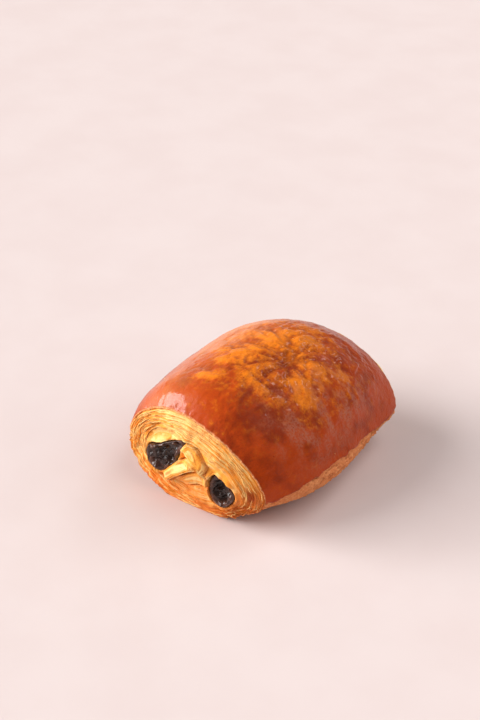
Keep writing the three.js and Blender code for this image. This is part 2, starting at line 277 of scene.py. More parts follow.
# Crumbs: piece, surface, mask, share where the mask is 0, share added by the mask, density, seed
CRUMBS = [
    ("front_crumbs", "front_leaves", "edge", 0.15, 0.5, 26000.0, 3),
    ("crust_crumbs", "crust", "foot", 0.04, 0.5, 9000.0, 4),
]

# The glaze grows thicker from the foot to the crown
GLAZE_HEIGHTS = (22 * MM, 36 * MM)
GLAZE_WEIGHTS = (0.1, 0.55)
GLAZE_ROUGHNESS = 0.17
CRUST_SPECULAR = 0.1
CHOCOLATE_SPECULAR = 0.5
FLOOR_ROUGHNESS = 0.85

# Lights: direction they come from, width in degrees, and whether the glaze mirrors them
LIGHTS = {
    "key": ((-0.72, -0.52, 0.52), 42, False),
    "window": ((-0.9, -0.38, 0.22), 30, True),
    "top": ((0.6, 0.3, 0.8), 64, False),
    "glint": ((0.18, 0.7, 0.7), 14, True),
    "fill": ((-0.35, -0.95, 0.5), 40, False),
}
FLOOR_SIZE = 60

# The even light's colour, and the backdrop's as the camera sees it
EVEN_COLOUR = (1, 0.86, 0.82, 1)
SEEN_COLOUR = (1, 0.95, 0.93, 1)
SEEN_STRENGTH = 0.92

# The photograph's camera, from the middle of the crust
CAMERA_PLACE = np.array([243.2, -345.0, 313.6]) * MM
CAMERA_AZIMUTH = 36.3
CAMERA_ELEVATION = 32.66
CAMERA_LENS = 70
CAMERA_SENSOR = 36

# Steps of the meshes
AROUND = 480
CRUST_ROWS = 180
EYE_ROWS = 66
STICK_AROUND = 132
STICK_CAP_ROWS = 44
STICK_BODY_ROWS = 24
OUTLINE_POINTS = 66
FLAP_POINTS = 64
SEED = 11

# Stands for 0 where a number is divided by
TINY = 1e-12


def length_setting(name, description, default):
    """A length property in metres."""
    return FloatProperty(name=name, description=description, default=default, unit="LENGTH")


class RollSettings(bpy.types.PropertyGroup):
    """Sizes of the fine relief, in metres"""

    leaves: IntProperty(
        name="Leaves", description="Leaves of dough between the crust and the eye of an end",
        default=20, min=4, max=40,
    )
    leaf_depth: length_setting("Leaf depth", "Depth of the grooves between leaves", 0.9 * MM)
    wrinkle_height: length_setting("Wrinkles", "Height of the wrinkles round the pucker", 0.95 * MM)
    blister_height: length_setting("Blisters", "Height of the crust's small blisters", 0.16 * MM)
    pore_depth: length_setting("Pores", "Depth of the pin holes in the crust", 0.22 * MM)
    strip_thickness: length_setting("Loose leaf", "Thickness of a loose leaf of pastry", 0.16 * MM)
    crumb_size: length_setting("Crumbs", "Mean size of a crumb", 0.55 * MM)


def colour_setting(name, description, default):
    """A colour property in linear values, as the shaders take them."""
    return FloatVectorProperty(
        name=name, description=description, default=default, subtype="COLOR", min=0, max=1
    )


class LookSettings(bpy.types.PropertyGroup):
    """Colours of the pastry and of the stage"""

    # Deep crust is where the glaze baked darkest, and also the painted shade in the crust's hollows
    crust_deep: colour_setting("Deep crust", "Where the glaze baked darkest, and painted shade in hollows", (0.22, 0.02, 0.001))
    crust_red: colour_setting("Red crust", "Most of the glazed crust", (0.4, 0.044, 0.002))
    crust_amber: colour_setting("Amber", "Thin bright patches of glaze", (0.74, 0.19, 0.006))
    # Painted sheen: a pale tan on the left shoulders, where the light falls
    crust_left_sheen: colour_setting("Left sheen", "Painted sheen on the left shoulders", (0.8, 0.28, 0.085))
    # Painted sheen: a greyish colour on the right side, which the shader also makes rougher
    crust_haze: colour_setting("Haze", "Painted greyish sheen on the right side", (0.38, 0.12, 0.072))
    # Rim: pale dry flecks in the foot, and the crust's edge round an end, which also carries a painted
    # highlight
    crust_rim: colour_setting("Rim", "Pale dry edge round an end, with a painted highlight", (0.85, 0.42, 0.18))
    foot: colour_setting("Foot", "Unglazed dough near the base", (0.68, 0.23, 0.085))
    base: colour_setting("Base", "Baked underside", (0.5, 0.17, 0.05))
    dough_pale: colour_setting("Pale dough", "Faces of the leaves", (0.95, 0.62, 0.22))
    dough_toast: colour_setting("Toasted dough", "Browned leaves", (0.93, 0.36, 0.04))
    dough_deep: colour_setting("Deep dough", "Leaves near the base", (0.8, 0.2, 0.02))
    # Seams: the seams between leaves, and also the painted shade in the sticks' pockets and along the
    # flaps' edges
    dough_seam: colour_setting("Seams", "Seams between the leaves, and painted shade in pockets and along flaps", (0.68, 0.18, 0.014))
    chocolate: colour_setting("Chocolate", "Dark chocolate", (0.014, 0.005, 0.003))
    # Painted sheen: a paler purple-brown on the chocolate's brims and sides
    chocolate_sheen: colour_setting("Painted sheen", "Painted purple-brown sheen on the brims and sides", (0.095, 0.034, 0.019))
    floor: colour_setting("Floor", "Plain pale floor", (0.66, 0.56, 0.54))


def strength_setting(name, description, default):
    return FloatProperty(name=name, description="Strength of the " + description, default=default)


class StageSettings(bpy.types.PropertyGroup):
    """Soft studio light"""

    key_strength: strength_setting("Key", "large soft light", 3.2)
    window_strength: strength_setting("Window", "low light on the left", 2.1)
    top_strength: strength_setting("Top", "wide light overhead", 1.7)
    glint_strength: strength_setting("Glint", "small light behind", 0.25)
    fill_strength: strength_setting("Fill", "weak front light", 0.5)
    world_strength: strength_setting("World", "even light", 0.22)


def bell(distance, reach):
    """A falling bell curve, 1 at the middle."""
    return np.exp(-((distance / reach) ** 2))


def ease(value, low, high):
    """0 below low, 1 above high, and smooth between them."""
    share = np.clip((value - low) / (high - low), 0, 1)
    return share * share * (3 - 2 * share)


def mix(a, b, share):
    return a + (b - a) * share


def cos_sin(angle):
    """Cosine and sine of an angle in degrees."""
    return np.cos(np.radians(angle)), np.sin(np.radians(angle))


def turn_between(a, b):
    """Smallest difference between two angles in degrees."""
    return (a - b + 180) % 360 - 180


GRADIENTS = np.array([
    (1, 1, 0), (-1, 1, 0), (1, -1, 0), (-1, -1, 0), (1, 0, 1), (-1, 0, 1),
    (1, 0, -1), (-1, 0, -1), (0, 1, 1), (0, -1, 1), (0, 1, -1), (0, -1, -1),
], float)
HASH_STEPS = np.array([73856093, 19349663, 83492791])
HASH_SEED = 49979687
HASH_MIX = 668265261
HASH_MASK = 0x7FFFFFFF


def noise(cell, seed):
    """Smooth seeded noise between about -1 and 1, with lumps one unit across."""
    base = np.floor(cell).astype(np.int64)
    part = cell - base
    blend = part**3 * (part * (part * 6 - 15) + 10)
    total = np.zeros(cell.shape[:-1])
    for corner in np.ndindex(2, 2, 2):
        key = ((base + corner) * HASH_STEPS).sum(-1) + seed * HASH_SEED
        key = ((key ^ (key >> 15)) * HASH_MIX) & HASH_MASK
        key = ((key ^ (key >> 13)) * HASH_MIX) & HASH_MASK
        slope = GRADIENTS[(key >> 8) % len(GRADIENTS)]
        weight = np.where(corner, blend, 1 - blend).prod(-1)
        total += weight * (slope * (part - corner)).sum(-1)
    return total


def grain(points, size, seed):
    """Noise at places on the roll, with lumps about size millimetres across."""
    return noise(points / (size * MM), SEED + seed)


def layers(points, size, seed, octaves=3, fall=0.5):
    """Several sizes of grain on top of each other."""
    total = 0
    for octave in range(octaves):
        total = total + fall**octave * grain(points, size / 2**octave, seed + octave)
    return total


def stacked(*values):
    return np.stack(np.broadcast_arrays(*values), -1)


def roll_at(along):
    """Half width, crown, middle height and sideways drift of the roll at places along it."""
    share = np.abs(along)
    front = along < 0

    def pick(key):
        return np.where(front, FRONT[key], REAR[key])

    drop = pick("drop") * share ** pick("drop_power")
    half_width = ROLL_WIDTH / 2 * (1 - pick("narrow") * share ** pick("narrow_power"))
    crown = ROLL_HEIGHT * (1 - drop)
    middle = ROLL_HEIGHT * WIDEST_HEIGHT * (1 - drop / 2)
    return half_width, crown, middle, pick("drift") * share**2


def roll_points(along, angle):
    """Points of the plain roll, before its relief."""
    half_width, crown, middle, drift = roll_at(along)
    cos, sin = cos_sin(angle)
    power = np.where(sin >= 0, UPPER_ROUNDNESS, LOWER_ROUNDNESS)
    reach = (np.abs(cos) ** power + np.abs(sin) ** power) ** (-1 / power)
    share = 1.0
    for place, turn, reach_along, reach_angle, depth in HOLLOWS:
        hollow = bell(along - place, reach_along) * bell(turn_between(angle, turn), reach_angle)
        share = share - depth * hollow
    reach = reach * share
    z = middle + np.where(sin >= 0, (crown - middle) * reach * sin, middle * BASE_DIP * reach * sin)
    foot = np.clip((middle - z) / middle, 0, 1)
    tuck = END_TUCK * foot**1.5 * np.abs(along) ** 4 * np.sign(along)
    aside = half_width * reach * cos
    lean = FRONT_LEAN * np.cos(2 * np.radians(angle - FRONT_LEAN_ANGLE))
    slant = np.where(along < 0, (FRONT_YAW * aside + lean) * np.abs(along) ** 3, 0)
    return stacked(drift + aside, along * CRUST_LENGTH / 2 - tuck + slant, z)


def pucker_heading(points):
    """Distance from the pucker and heading round it."""
    centre = roll_points(np.array(PUCKER_ALONG), np.array(PUCKER_ANGLE))
    away = points - centre
    return np.linalg.norm(away, axis=-1), np.arctan2(away[..., 1], away[..., 0])


def streaks(points):
    """Rays of wrinkles that spread from the pucker, between about -1 and 1."""
    far, heading = pucker_heading(points)
    swirl = heading + RAY_SWIRL * grain(points, 16, 1)
    rays = 0
    for count, length, seed, share in RAYS:
        cells = stacked(count * np.cos(swirl), count * np.sin(swirl), far / (length * MM))
        rays = rays + share * noise(cells, SEED + seed)
    return rays


def line_distance(start, stop, u, v):
    """Distance in a plane to a line between two points in millimetres."""
    (u0, v0), (u1, v1) = np.array(start) * MM, np.array(stop) * MM
    length2 = (u1 - u0) ** 2 + (v1 - v0) ** 2
    share = np.clip(((u - u0) * (u1 - u0) + (v - v0) * (v1 - v0)) / length2, 0, 1)
    return np.hypot(u - mix(u0, u1, share), v - mix(v0, v1, share))


def capsules(places, x, y, reach):
    """Strongest of several soft capsules in plan."""
    strongest = 0
    for start, stop, half_width, strength in places:
        away = line_distance(start, stop, x, y)
        strongest = np.maximum(strongest, strength * bell(away, half_width * MM * reach))
    return strongest


def patch(place, u, v):
    """A soft oval patch: its middle and its reach both ways, in millimetres."""
    middle_u, middle_v, reach_u, reach_v = np.array(place) * MM
    return bell(np.hypot((u - middle_u) / reach_u, (v - middle_v) / reach_v), 1)


def foot_line(points, angle):
    """Height of the crust's lower edge."""
    start = FOOT_WAVE_START + np.where(cos_sin(angle)[0] < 0, FOOT_LEFT_SHIFT, 0)
    wave = np.sin(points[..., 1] / FOOT_WAVE_REACH + start)
    return FOOT_LINE + FOOT_WAVE * wave + FOOT_RAGGED * layers(points, 6, 12, 4, 0.6)


def crust_relief(points, along, angle, settings):
    """Height of the crust's relief, and the masks that colour it."""
    far, _ = pucker_heading(points)
    x, y, z = np.moveaxis(points, -1, 0)
    upward = ease(z, *CROWN_RISE)
    near = bell(far, CROWN_REACH) * upward
    warp_x, warp_y = (side + CREASE_WARP * layers(points, 6, seed) for side, seed in ((x, 31), (y, 34)))
    rays = streaks(points)
    crease = capsules(CREASES, warp_x, warp_y, CREASE_WIDTH) * upward * ease(rays + 0.6, -0.2, 0.8)
    thin = capsules(AMBER_PATCHES, warp_x, warp_y, AMBER_WIDTH) * upward
    ridged = 1 - 2 * np.abs(layers(points * (1.5, 0.9, 1), 3.4, 9))
    wrinkles = settings.wrinkle_height * (0.8 * rays * ease(far, 2 * MM, 8 * MM) + 0.5 * ridged) * near
    dimple = -PUCKER_DEPTH * bell(far, PUCKER_REACH)

    line = foot_line(points, angle)
    foot = ease(line - z, -0.25 * MM, 0.35 * MM)
    inner = ease(1 - np.abs(along), 0, 0.15)
    hem = HEM_RISE * bell(z - line - 0.9 * MM, 1.1 * MM) * inner
    step = -FOOT_STEP * foot * ease(z, 0, 5 * MM) * mix(0.3, 1, inner)
    shreds = SHRED_RISE * layers(points * (0.85, 0.85, 1.15), 2, 13, 3, 0.7) * foot
    shreds = shreds * ease(z, 0.2 * MM, 2 * MM)
    pits = -PIT_DEPTH * ease(grain(points, 2.1, 14), 0.42, 0.6) * foot * ease(z, 1 * MM, 4 * MM)

    waves = WAVE_RISE * grain(points, 15, 5) * ease(z, 2 * MM, 10 * MM)
    blisters = settings.blister_height * (layers(points, 5.5, 4) + 0.5 * grain(points, 1.3, 16))
    blisters = blisters * (1 - foot) * ease(z, 1 * MM, 6 * MM)
    height = wrinkles - CREASE_DEPTH * crease + AMBER_RISE * thin + dimple
    height = height + step + hem + shreds + pits + waves + blisters

    speckle = layers(points, 2.4, 6)
    glow = 0.6 * patch(AMBER_CROWN, x, y) * upward + 0.6 * thin + 0.33 * speckle
    # More amber on the wrinkles' ridges and less in the creases: partly thin glaze on the ridges, partly
    # painted light
    glow = glow + 0.22 * rays * near - 0.55 * crease
    darker = patch(DARK_PATCH, x, y) - 0.4 * patch(LIGHT_PATCH, x, y)
    # haze: a painted greyish sheen on the right side, where a dull reflection falls; the shader also makes
    # it rougher
    side = bell(turn_between(angle, HAZE_TURN), SIDE_REACH)
    side = side * ease(along, -0.9, -0.5) * (1 - 0.65 * ease(along, 0.2, 0.7))
    # A pale tan painted sheen on the upper left shoulder, where the light falls, stronger towards the rear
    tan = bell(turn_between(angle, LEFT_SHEEN_TURN), SIDE_REACH) * mix(0.4, 1, ease(along, -0.5, 0.2))
    # Darker in the creases and lighter on the ridges: partly glaze pooled in the creases, partly painted
    # shade
    bake = 0.45 + 0.4 * layers(points, 9, 8) + 0.6 * crease - 0.2 * rays * near + 0.4 * darker
    bake = bake + 0.12 * bell(far, CROWN_REACH) - 0.3 * ease(25 * MM - z, 0, 10 * MM)
    masks = {
        "amber": ease(glow, -0.1, 0.9) * (1 - 0.6 * np.clip(darker, 0, 1)),
        "haze": side * ease(layers(points * (1.1, 1.5, 0.45), 7, 7), -0.35, 0.4),
        "foot": foot,
        "tan": tan * (1 - foot),
        "bake": np.clip(bake + 0.35 * ease(angle, 130, 165), 0, 1),
        # rim: the crust's rounded edge round an end, pale partly from dry flakes and partly from a painted
        # highlight
        "rim": ease(np.abs(along) + 0.003 * layers(points, 3, 17), 0.995, 1.0),
        # hollow: painted shade, deeper wherever the relief dips below the plain roll
        "hollow": np.clip(-height / MM, 0, 1),
    }
    return height, masks


def crust_points(along, angle, settings):
    """Points of the crust, moved out by its relief, and its masks."""
    plain = roll_points(along, angle)
    _, _, middle, drift = roll_at(along)
    out = stacked(plain[..., 0] - drift, 0, plain[..., 2] - middle)
    out = out / np.linalg.norm(out, axis=-1, keepdims=True)
    height, masks = crust_relief(plain, along, angle, settings)
    points = plain + out * height[..., None]
    points[..., 2] = np.maximum(points[..., 2], 0)
    return points, masks


def linked(name, data):
    """An object for a mesh, light or camera, placed in the scene."""
    made = bpy.data.objects.new(name, data)
    bpy.context.scene.collection.objects.link(made)
    return made


def new_mesh(name, points, lines, faces):
    """A mesh whose points are moved from the crust's middle to the roll's."""
    mesh = bpy.data.meshes.new(name)
    mesh.from_pydata((points + ROLL_SHIFT).tolist(), lines, faces)
    mesh.polygons.foreach_set("use_smooth", [True] * len(faces))
    mesh.update()
    return mesh


def write_mask(made, name, values):
    """Stores one number for each point of a piece."""
    attribute = made.data.attributes.new(name, "FLOAT", "POINT")
    attribute.data.foreach_set("value", np.ascontiguousarray(values, np.float32))


def closed_piece(name, rings, masks):
    """A closed surface through rings of points, with a point in the middle of the first and the last."""
    rows, around = rings.shape[:2]
    middles = [ring.mean(0, keepdims=True) for ring in (rings[0], rings[-1])]
    points = np.concatenate([middles[0], rings.reshape(-1, 3), middles[1]])
    index = 1 + np.arange(rows * around).reshape(rows, around)
    beside = np.roll(index, -1, 1)
    quads = np.stack([index[:-1], beside[:-1], beside[1:], index[1:]], -1).reshape(-1, 4)
    first = np.stack([0 * index[0], beside[0], index[0]], -1)
    last = np.stack([0 * index[0] + len(points) - 1, index[-1], beside[-1]], -1)
    centre = points.mean(0)
    a, b, c = (points[quads[:, k]] - centre for k in range(3))
    faces = quads.tolist() + first.tolist() + last.tolist()
    if (np.cross(a, b) * c).sum() < 0:
        faces = [face[::-1] for face in faces]
    made = linked(name, new_mesh(name, points, [], faces))
    for mask, values in masks.items():
        ends = [values[0].mean(keepdims=True), values.reshape(-1), values[-1].mean(keepdims=True)]
        write_mask(made, mask, np.concatenate(ends))
    return made


def swell(share):
    """How far an end stands out, from 0 at the rim to all of the bulge in the middle."""
    return END_BULGE * (1 - share**BULGE_POWER)


def fold_relief(folds, x, z):
    """Height of the folds in an end, at places in its plane."""
    height = 0
    for start, stop, half_width, rise in folds:
        height = height + rise * MM * bell(line_distance(start, stop, x, z), half_width * MM)
    return height


def smooth_outline(outline, count):
    """Even points on a smooth closed curve through an outline in millimetres, as x and z in metres."""
    points = np.array(outline, float) * MM
    steps = np.linspace(0, len(points), count, endpoint=False)
    base = steps.astype(int)
    t = (steps - base)[:, None]
    p0, p1, p2, p3 = (points[(base + k) % len(points)] for k in (-1, 0, 1, 2))
    bend = (2 * p0 - 5 * p1 + 4 * p2 - p3) * t**2 + (3 * p1 - p0 - 3 * p2 + p3) * t**3
    return 0.5 * (2 * p1 + (p2 - p0) * t + bend)


def bar_outline(bar, front):
    """The rounded bar at a stick's rear end, in step with the points of its front outline."""
    x, z, turn = bar
    front = np.array(front, float)
    away = front - front.mean(0)
    angle = np.arctan2(away[:, 1], away[:, 0]) - math.radians(turn)
    wide = np.abs(2 * np.cos(angle) / STICK_WIDTH) ** STICK_ROUNDNESS
    tall = np.abs(2 * np.sin(angle) / STICK_HEIGHT) ** STICK_ROUNDNESS
    reach = (wide + tall) ** (-1 / STICK_ROUNDNESS)
    turned = angle + math.radians(turn)
    return np.stack([x + reach * np.cos(turned), z + reach * np.sin(turned)], -1)


def outline_distance(x, z, outline):
    """Signed distance to a closed outline, under 0 inside it."""
    here = stacked(x, z).reshape(-1, 1, 2)
    a = outline[None]
    b = np.roll(outline, -1, 0)[None]
    run = b - a
    share = np.clip(((here - a) * run).sum(-1) / (run**2).sum(-1), 0, 1)
    distance = np.linalg.norm(here - a - run * share[..., None], axis=-1).min(1)
    over = (a[..., 1] > here[..., 1]) != (b[..., 1] > here[..., 1])
    climb = np.where(run[..., 1] == 0, TINY, run[..., 1])
    crossing = a[..., 0] + (here[..., 1] - a[..., 1]) * run[..., 0] / climb
    inside = (over & (here[..., 0] < crossing)).sum(1) % 2 == 1
    return np.where(inside, -distance, distance).reshape(x.shape)


def stick_outlines(end):
    """Outlines of both sticks at an end of the roll."""
    return [
        smooth_outline(front if end is FRONT else bar_outline(bar, front), OUTLINE_POINTS)
        for front, bar in STICKS.values()
    ]


# Shares of a leaf's width where its rows lie, and their heights from 1 on its face to -1 in the groove
LEAF_SHARES = np.array([0.1, 0.36, 0.62, 0.86])
LEAF_HEIGHTS = np.array([0.7, 1.0, 0.1, -1.0])


def leaf_height(phase):
    """The profile of a leaf at any share of its width."""
    shares = np.concatenate([[LEAF_SHARES[-1] - 1], LEAF_SHARES, [1 + LEAF_SHARES[0]]])
    heights = np.concatenate([[LEAF_HEIGHTS[-1]], LEAF_HEIGHTS, [LEAF_HEIGHTS[0]]])
    return np.interp(phase % 1, shares, heights)


def end_place(end, inward, angle, settings):
    """x, y and z of an end's plain surface; inward is 0 at the crust, 1 at the eye and 2 in its middle."""
    side = end["side"]
    rim, _ = crust_points(np.full(angle.shape, float(side)), angle, settings)
    cos, sin = cos_sin(angle)
    tilt = math.radians(EYE_TILT if end is FRONT else -EYE_TILT / 2)
    u, v = EYE_HALF_WIDTH * cos, EYE_HALF_HEIGHT * sin
    centre_x = EYE_X + end["drift"] / 4
    eye_x = centre_x + u * math.cos(tilt) - v * math.sin(tilt)
    eye_z = EYE_Z + u * math.sin(tilt) + v * math.cos(tilt)
    across = np.minimum(inward, 1)
    hole = np.maximum(inward - 1, 0)
    place = stacked(cos, sin, across * 0.8)
    wander = 0.035 * np.sin(np.radians(3 * angle) + 5 * across + side)
    wander = wander + 0.06 * noise(place / 0.45, SEED + 20) + 0.03 * noise(place / 0.17, SEED + 21)
    ring = across + 4 * across * (1 - across) * wander
    outside = inward <= 1
    x = np.where(outside, mix(rim[..., 0], eye_x, ring), mix(eye_x, centre_x, hole))
    z = np.where(outside, mix(rim[..., 2], eye_z, ring), mix(eye_z, EYE_Z, hole))
    share = np.where(outside, mix(1, EYE_SHARE, ring), mix(EYE_SHARE, 0, hole))
    out = swell(share) - EYE_RECESS * ease(inward, 0.95, 1.15) - CRUST_LIP * ease(ring, 0, 0.06)
    y = mix(rim[..., 1], side * CRUST_LENGTH / 2, 1 - share) + side * out
    return x, y, z


def flap_relief(flaps, x, z):
    """Rise of the leaves that lie over others, the painted shade along their edges, their edges' nearness,
    their grain and cover.
    """
    rise, line, covered, across = 0, 0, 0, 0
    nearest = np.full(x.shape, 1.0)
    for outline, height, turn in flaps:
        away = outline_distance(x, z, smooth_outline(outline, FLAP_POINTS))
        inside = ease(-away, -0.15 * MM, 0.45 * MM)
        dome = 0.7 + 0.3 * ease(-away, 0, 2.2 * MM)
        rise = np.maximum(rise, height * MM * inside * dome)
        # Painted shade just outside each flap's edge
        line = np.maximum(line, bell(away - 0.25 * MM, 0.3 * MM))
        nearest = np.minimum(nearest, np.abs(away))
        along_grain = z * math.cos(math.radians(turn)) - x * math.sin(math.radians(turn))
        across = np.where(inside > FLAP_COVER, along_grain, across)
        covered = np.maximum(covered, inside)
    return rise, line, nearest, across, covered


def steepness(field, x, z):
    """How steeply a field changes over a grid of places, from 0 at its peaks to 1."""
    if field.ndim < 2:
        return 1.0
    (fr, fc), (xr, xc), (zr, zc) = (np.gradient(values) for values in (field, x, z))
    area = xr * zc - xc * zr
    area = np.where(np.abs(area) < TINY, TINY, area)
    slope = np.hypot((fr * zc - fc * zr) / area, (xr * fc - xc * fr) / area)
    return ease(slope, 0.55, 0.95)


def eye_leaves(end, x, z, inward, sticks, flap_near, flap_grain, on_flap):
    """Fine leaves in the eye of an end: phase and height of each, how torn they are, and where rings run.

    They bend round the sticks and flaps, or run in rings round the eye where the dough lies open.
    """
    in_plane = stacked(x, 0 * x, z)
    eye_edge = np.maximum(inward - 1, 0) * EYE_HALF_HEIGHT
    near_things = (*sticks, eye_edge, flap_near + EYE_BLEND)
    field = -EYE_BLEND * np.log(sum(np.exp(-np.maximum(d, 0) / EYE_BLEND) for d in near_things))
    bent = (field + 0.8 * MM * layers(in_plane, 6, 25, 2)) / BENT_LEAF
    ringed = (eye_edge + 0.5 * MM * layers(in_plane, 7, 36, 2)) / RING_LEAF
    grained = (mix(flap_near, flap_grain, 0.25) + 0.25 * MM * layers(in_plane, 5, 35, 2)) / FLAP_LEAF
    open_dough = ease(field, 1.3 * MM, 2.1 * MM) if end is FRONT else np.ones_like(field)
    phase = np.where(on_flap > 0.5, grained, np.where(open_dough > 0.5, ringed, bent))
    height = mix(leaf_height(bent), leaf_height(ringed), open_dough)
    height = np.where(on_flap > 0.5, leaf_height(grained), height)
    patches = mix(0.3, 0.9, ease(grain(in_plane, 5, 37), -0.3, 0.3))
    clear = mix(steepness(field, x, z), patches, open_dough)
    clear = np.where(on_flap > 0.5, 0.15 + 0.75 * bell(flap_near, 1.3 * MM), clear)
    torn = ease(layers(in_plane, 4, 26, 2), -0.3, 0.35) * clear
    return phase, height, torn, open_dough


def end_surface(end, inward, angle, settings):
    """Points of a laminated end with its leaves, folds and the pockets of the sticks, and its masks."""
    x, y, z = end_place(end, inward, angle, settings)
    front = end is FRONT
    in_plane = stacked(x, 0 * x, z)
    inside = ease(inward, 1.0, 1.1)

    phase = np.minimum(inward, 1) * settings.leaves
    number = np.floor(phase)
    round_x, round_z = (part * RING_RADIUS for part in cos_sin(angle))
    on_leaf = stacked(round_x, round_z, number * 7 * MM)
    open_seam = ease(layers(on_leaf, 9, 22, 2), -0.4, 0.3)
    lift = LEAF_LIFT * layers(on_leaf, 15, 23, 2) + LEAF_CRUMPLE * grain(on_leaf, 3, 24)
    rings = settings.leaf_depth / 2 * leaf_height(phase) * mix(0.2, 1.15, open_seam) + lift

    sticks = [outline_distance(x, z, outline) for outline in stick_outlines(end)]
    closest = np.minimum(*sticks)
    flaps = FRONT_FLAPS if front else REAR_FLAPS
    flap_rise, flap_edge_shade, flap_near, flap_grain, covered = flap_relief(flaps, x, z)
    on_flap = (covered > FLAP_COVER) * inside
    eye_phase, eye_leaf, torn, open_dough = eye_leaves(
        end, x, z, inward, sticks, flap_near, flap_grain, on_flap
    )
    inner = 0.4 * settings.leaf_depth * eye_leaf * mix(0.15, 1, torn)

    folds = 0.6 * fold_relief(FRONT_FOLDS if front else REAR_FOLDS, x, z) * ease(inward, 0.85, 1.1)
    brim = BRIM_RISE * bell(closest - 0.8 * MM, 0.9 * MM) * (1 + 0.9 * grain(in_plane, 3, 27))
    moat = -MOAT_DEPTH * bell(flap_near, 0.5 * MM) * (flap_rise < 0.3 * MM) * inside
    pocket = ease(-closest, -0.35 * MM, 0.35 * MM)
    lumps = LUMP_RISE * layers(in_plane, 7, 28) * ease(inward, 0, 0.2)
    height = mix(rings, inner, inside) + folds + flap_rise + moat + brim + lumps
    out = height * ease(inward, -0.02, 0.05) - POCKET_DEPTH * pocket
    points = stacked(x, y + end["side"] * out, z)

    outer_groove = ease(-leaf_height(phase), -0.2, 0.9) * mix(0.3, 1, open_seam)
    inner_groove = ease(-eye_leaf, -0.2, 0.9) * mix(0.25, 1, torn)
    # Painted shade along the flaps' edges, broken up by grain
    flap_edge_shade = flap_edge_shade * mix(0.3, 1, ease(layers(in_plane, 4, 38, 2), -0.35, 0.25))
    groove = np.maximum(mix(outer_groove, inner_groove, inside), flap_edge_shade * inside)
    low = ease(EYE_Z - z - 0.22 * end["side"] * x, -1 * MM, 11 * MM)
    browned = layers(stacked(round_x, round_z, number * 3 * MM), 12, 29, 2)
    patchy = layers(in_plane, 6, 30)
    spot, fleck = (patch(place, x, z) * front for place in (RED_SPOT, PALE_FLECK))
    toast = 0.32 + 0.15 * (1 - inside) + 0.8 * browned * (1 - inside) + 0.6 * patchy * mix(0.5, 1, inside)
    toast = toast - fleck - 0.5 * ease(z, 26 * MM, 38 * MM) + 0.35 * low + spot + 0.1 * covered
    # The last term darkens the dents of the folds, where a fold's height is below 0: painted shade
    toast = toast + 0.3 * bell(closest - 0.3 * MM, 1.0 * MM) + 0.5 * np.clip(-folds / MM, 0, 1)
    inner_lines = (0.25 + 0.75 * torn) * mix(np.abs(2 * open_dough - 1), 0.5, on_flap)
    masks = {
        # Seams between the leaves, with painted shade in the sticks' pockets and along the flaps' edges
        "groove": np.clip(groove + pocket + 1.3 * spot, 0, 1),
        "toast": np.clip(toast, 0, 1),
        "low": np.clip(low * (0.75 + 0.8 * patchy), 0, 1),
        # edge: partly the crust's own red, partly painted shade under the crust's lip
        "edge": np.maximum(1 - ease(inward, 0.005, 0.03), np.clip(2 * spot, 0, 1)),
        "leaf": mix(phase, eye_phase, inside),
        "lines": mix(mix(0.55, 1, open_seam), inner_lines, inside),
    }
    return points, masks


def wall_behind(rim, side, steps):
    """Rings that lead from a rim into the roll."""
    toward = (rim.mean(0) - rim) * (1, 0, 1)
    toward /= np.linalg.norm(toward, axis=1, keepdims=True)
    return [rim + toward * into * MM - (0, side * deep * MM, 0) for into, deep in steps]


def build_crust(settings):
    """The glazed crust, its pale foot and the base, closed by a hollow wall behind each laminated end."""
    angles = np.linspace(0, 360, AROUND, endpoint=False)
    even = np.linspace(-1, 1, CRUST_ROWS)
    along, angle = np.meshgrid(mix(even, np.sin(even * math.pi / 2), 0.25), angles, indexing="ij")
    outer, masks = crust_points(along, angle, settings)
    ragged = RIM_RAGGED * layers(outer * (1, 0, 1), 2.2, 40)
    outer[..., 1] += ragged * np.abs(along) ** 40 * np.sign(along)
    before, after = (wall_behind(outer[row], side, CRUST_WALL) for row, side in ((0, -1), (-1, 1)))
    rings = np.stack([*before[::-1], *outer, *after])
    rows = (len(CRUST_WALL), len(CRUST_WALL))
    filled = {name: np.pad(values, (rows, (0, 0)), "edge") for name, values in masks.items()}
    return closed_piece("crust_base", rings, filled)


def build_end(end, name, settings):
    """A plug of laminated dough that fills an end of the roll."""
    angles = np.linspace(0, 360, AROUND, endpoint=False)
    band = ((np.arange(settings.leaves)[:, None] + LEAF_SHARES) / settings.leaves).ravel()
    eye = 1 + (np.arange(EYE_ROWS) + 0.4) / EYE_ROWS
    inward, angle = np.meshgrid(np.concatenate([band, eye]), angles, indexing="ij")
    points, masks = end_surface(end, inward, angle, settings)
    rings = np.stack([*wall_behind(points[0], end["side"], END_WALL)[::-1], *points])
    rows = (len(END_WALL), 0)
    filled = {mask: np.pad(values, (rows, (0, 0)), "edge") for mask, values in masks.items()}
    return closed_piece(name, rings, filled)


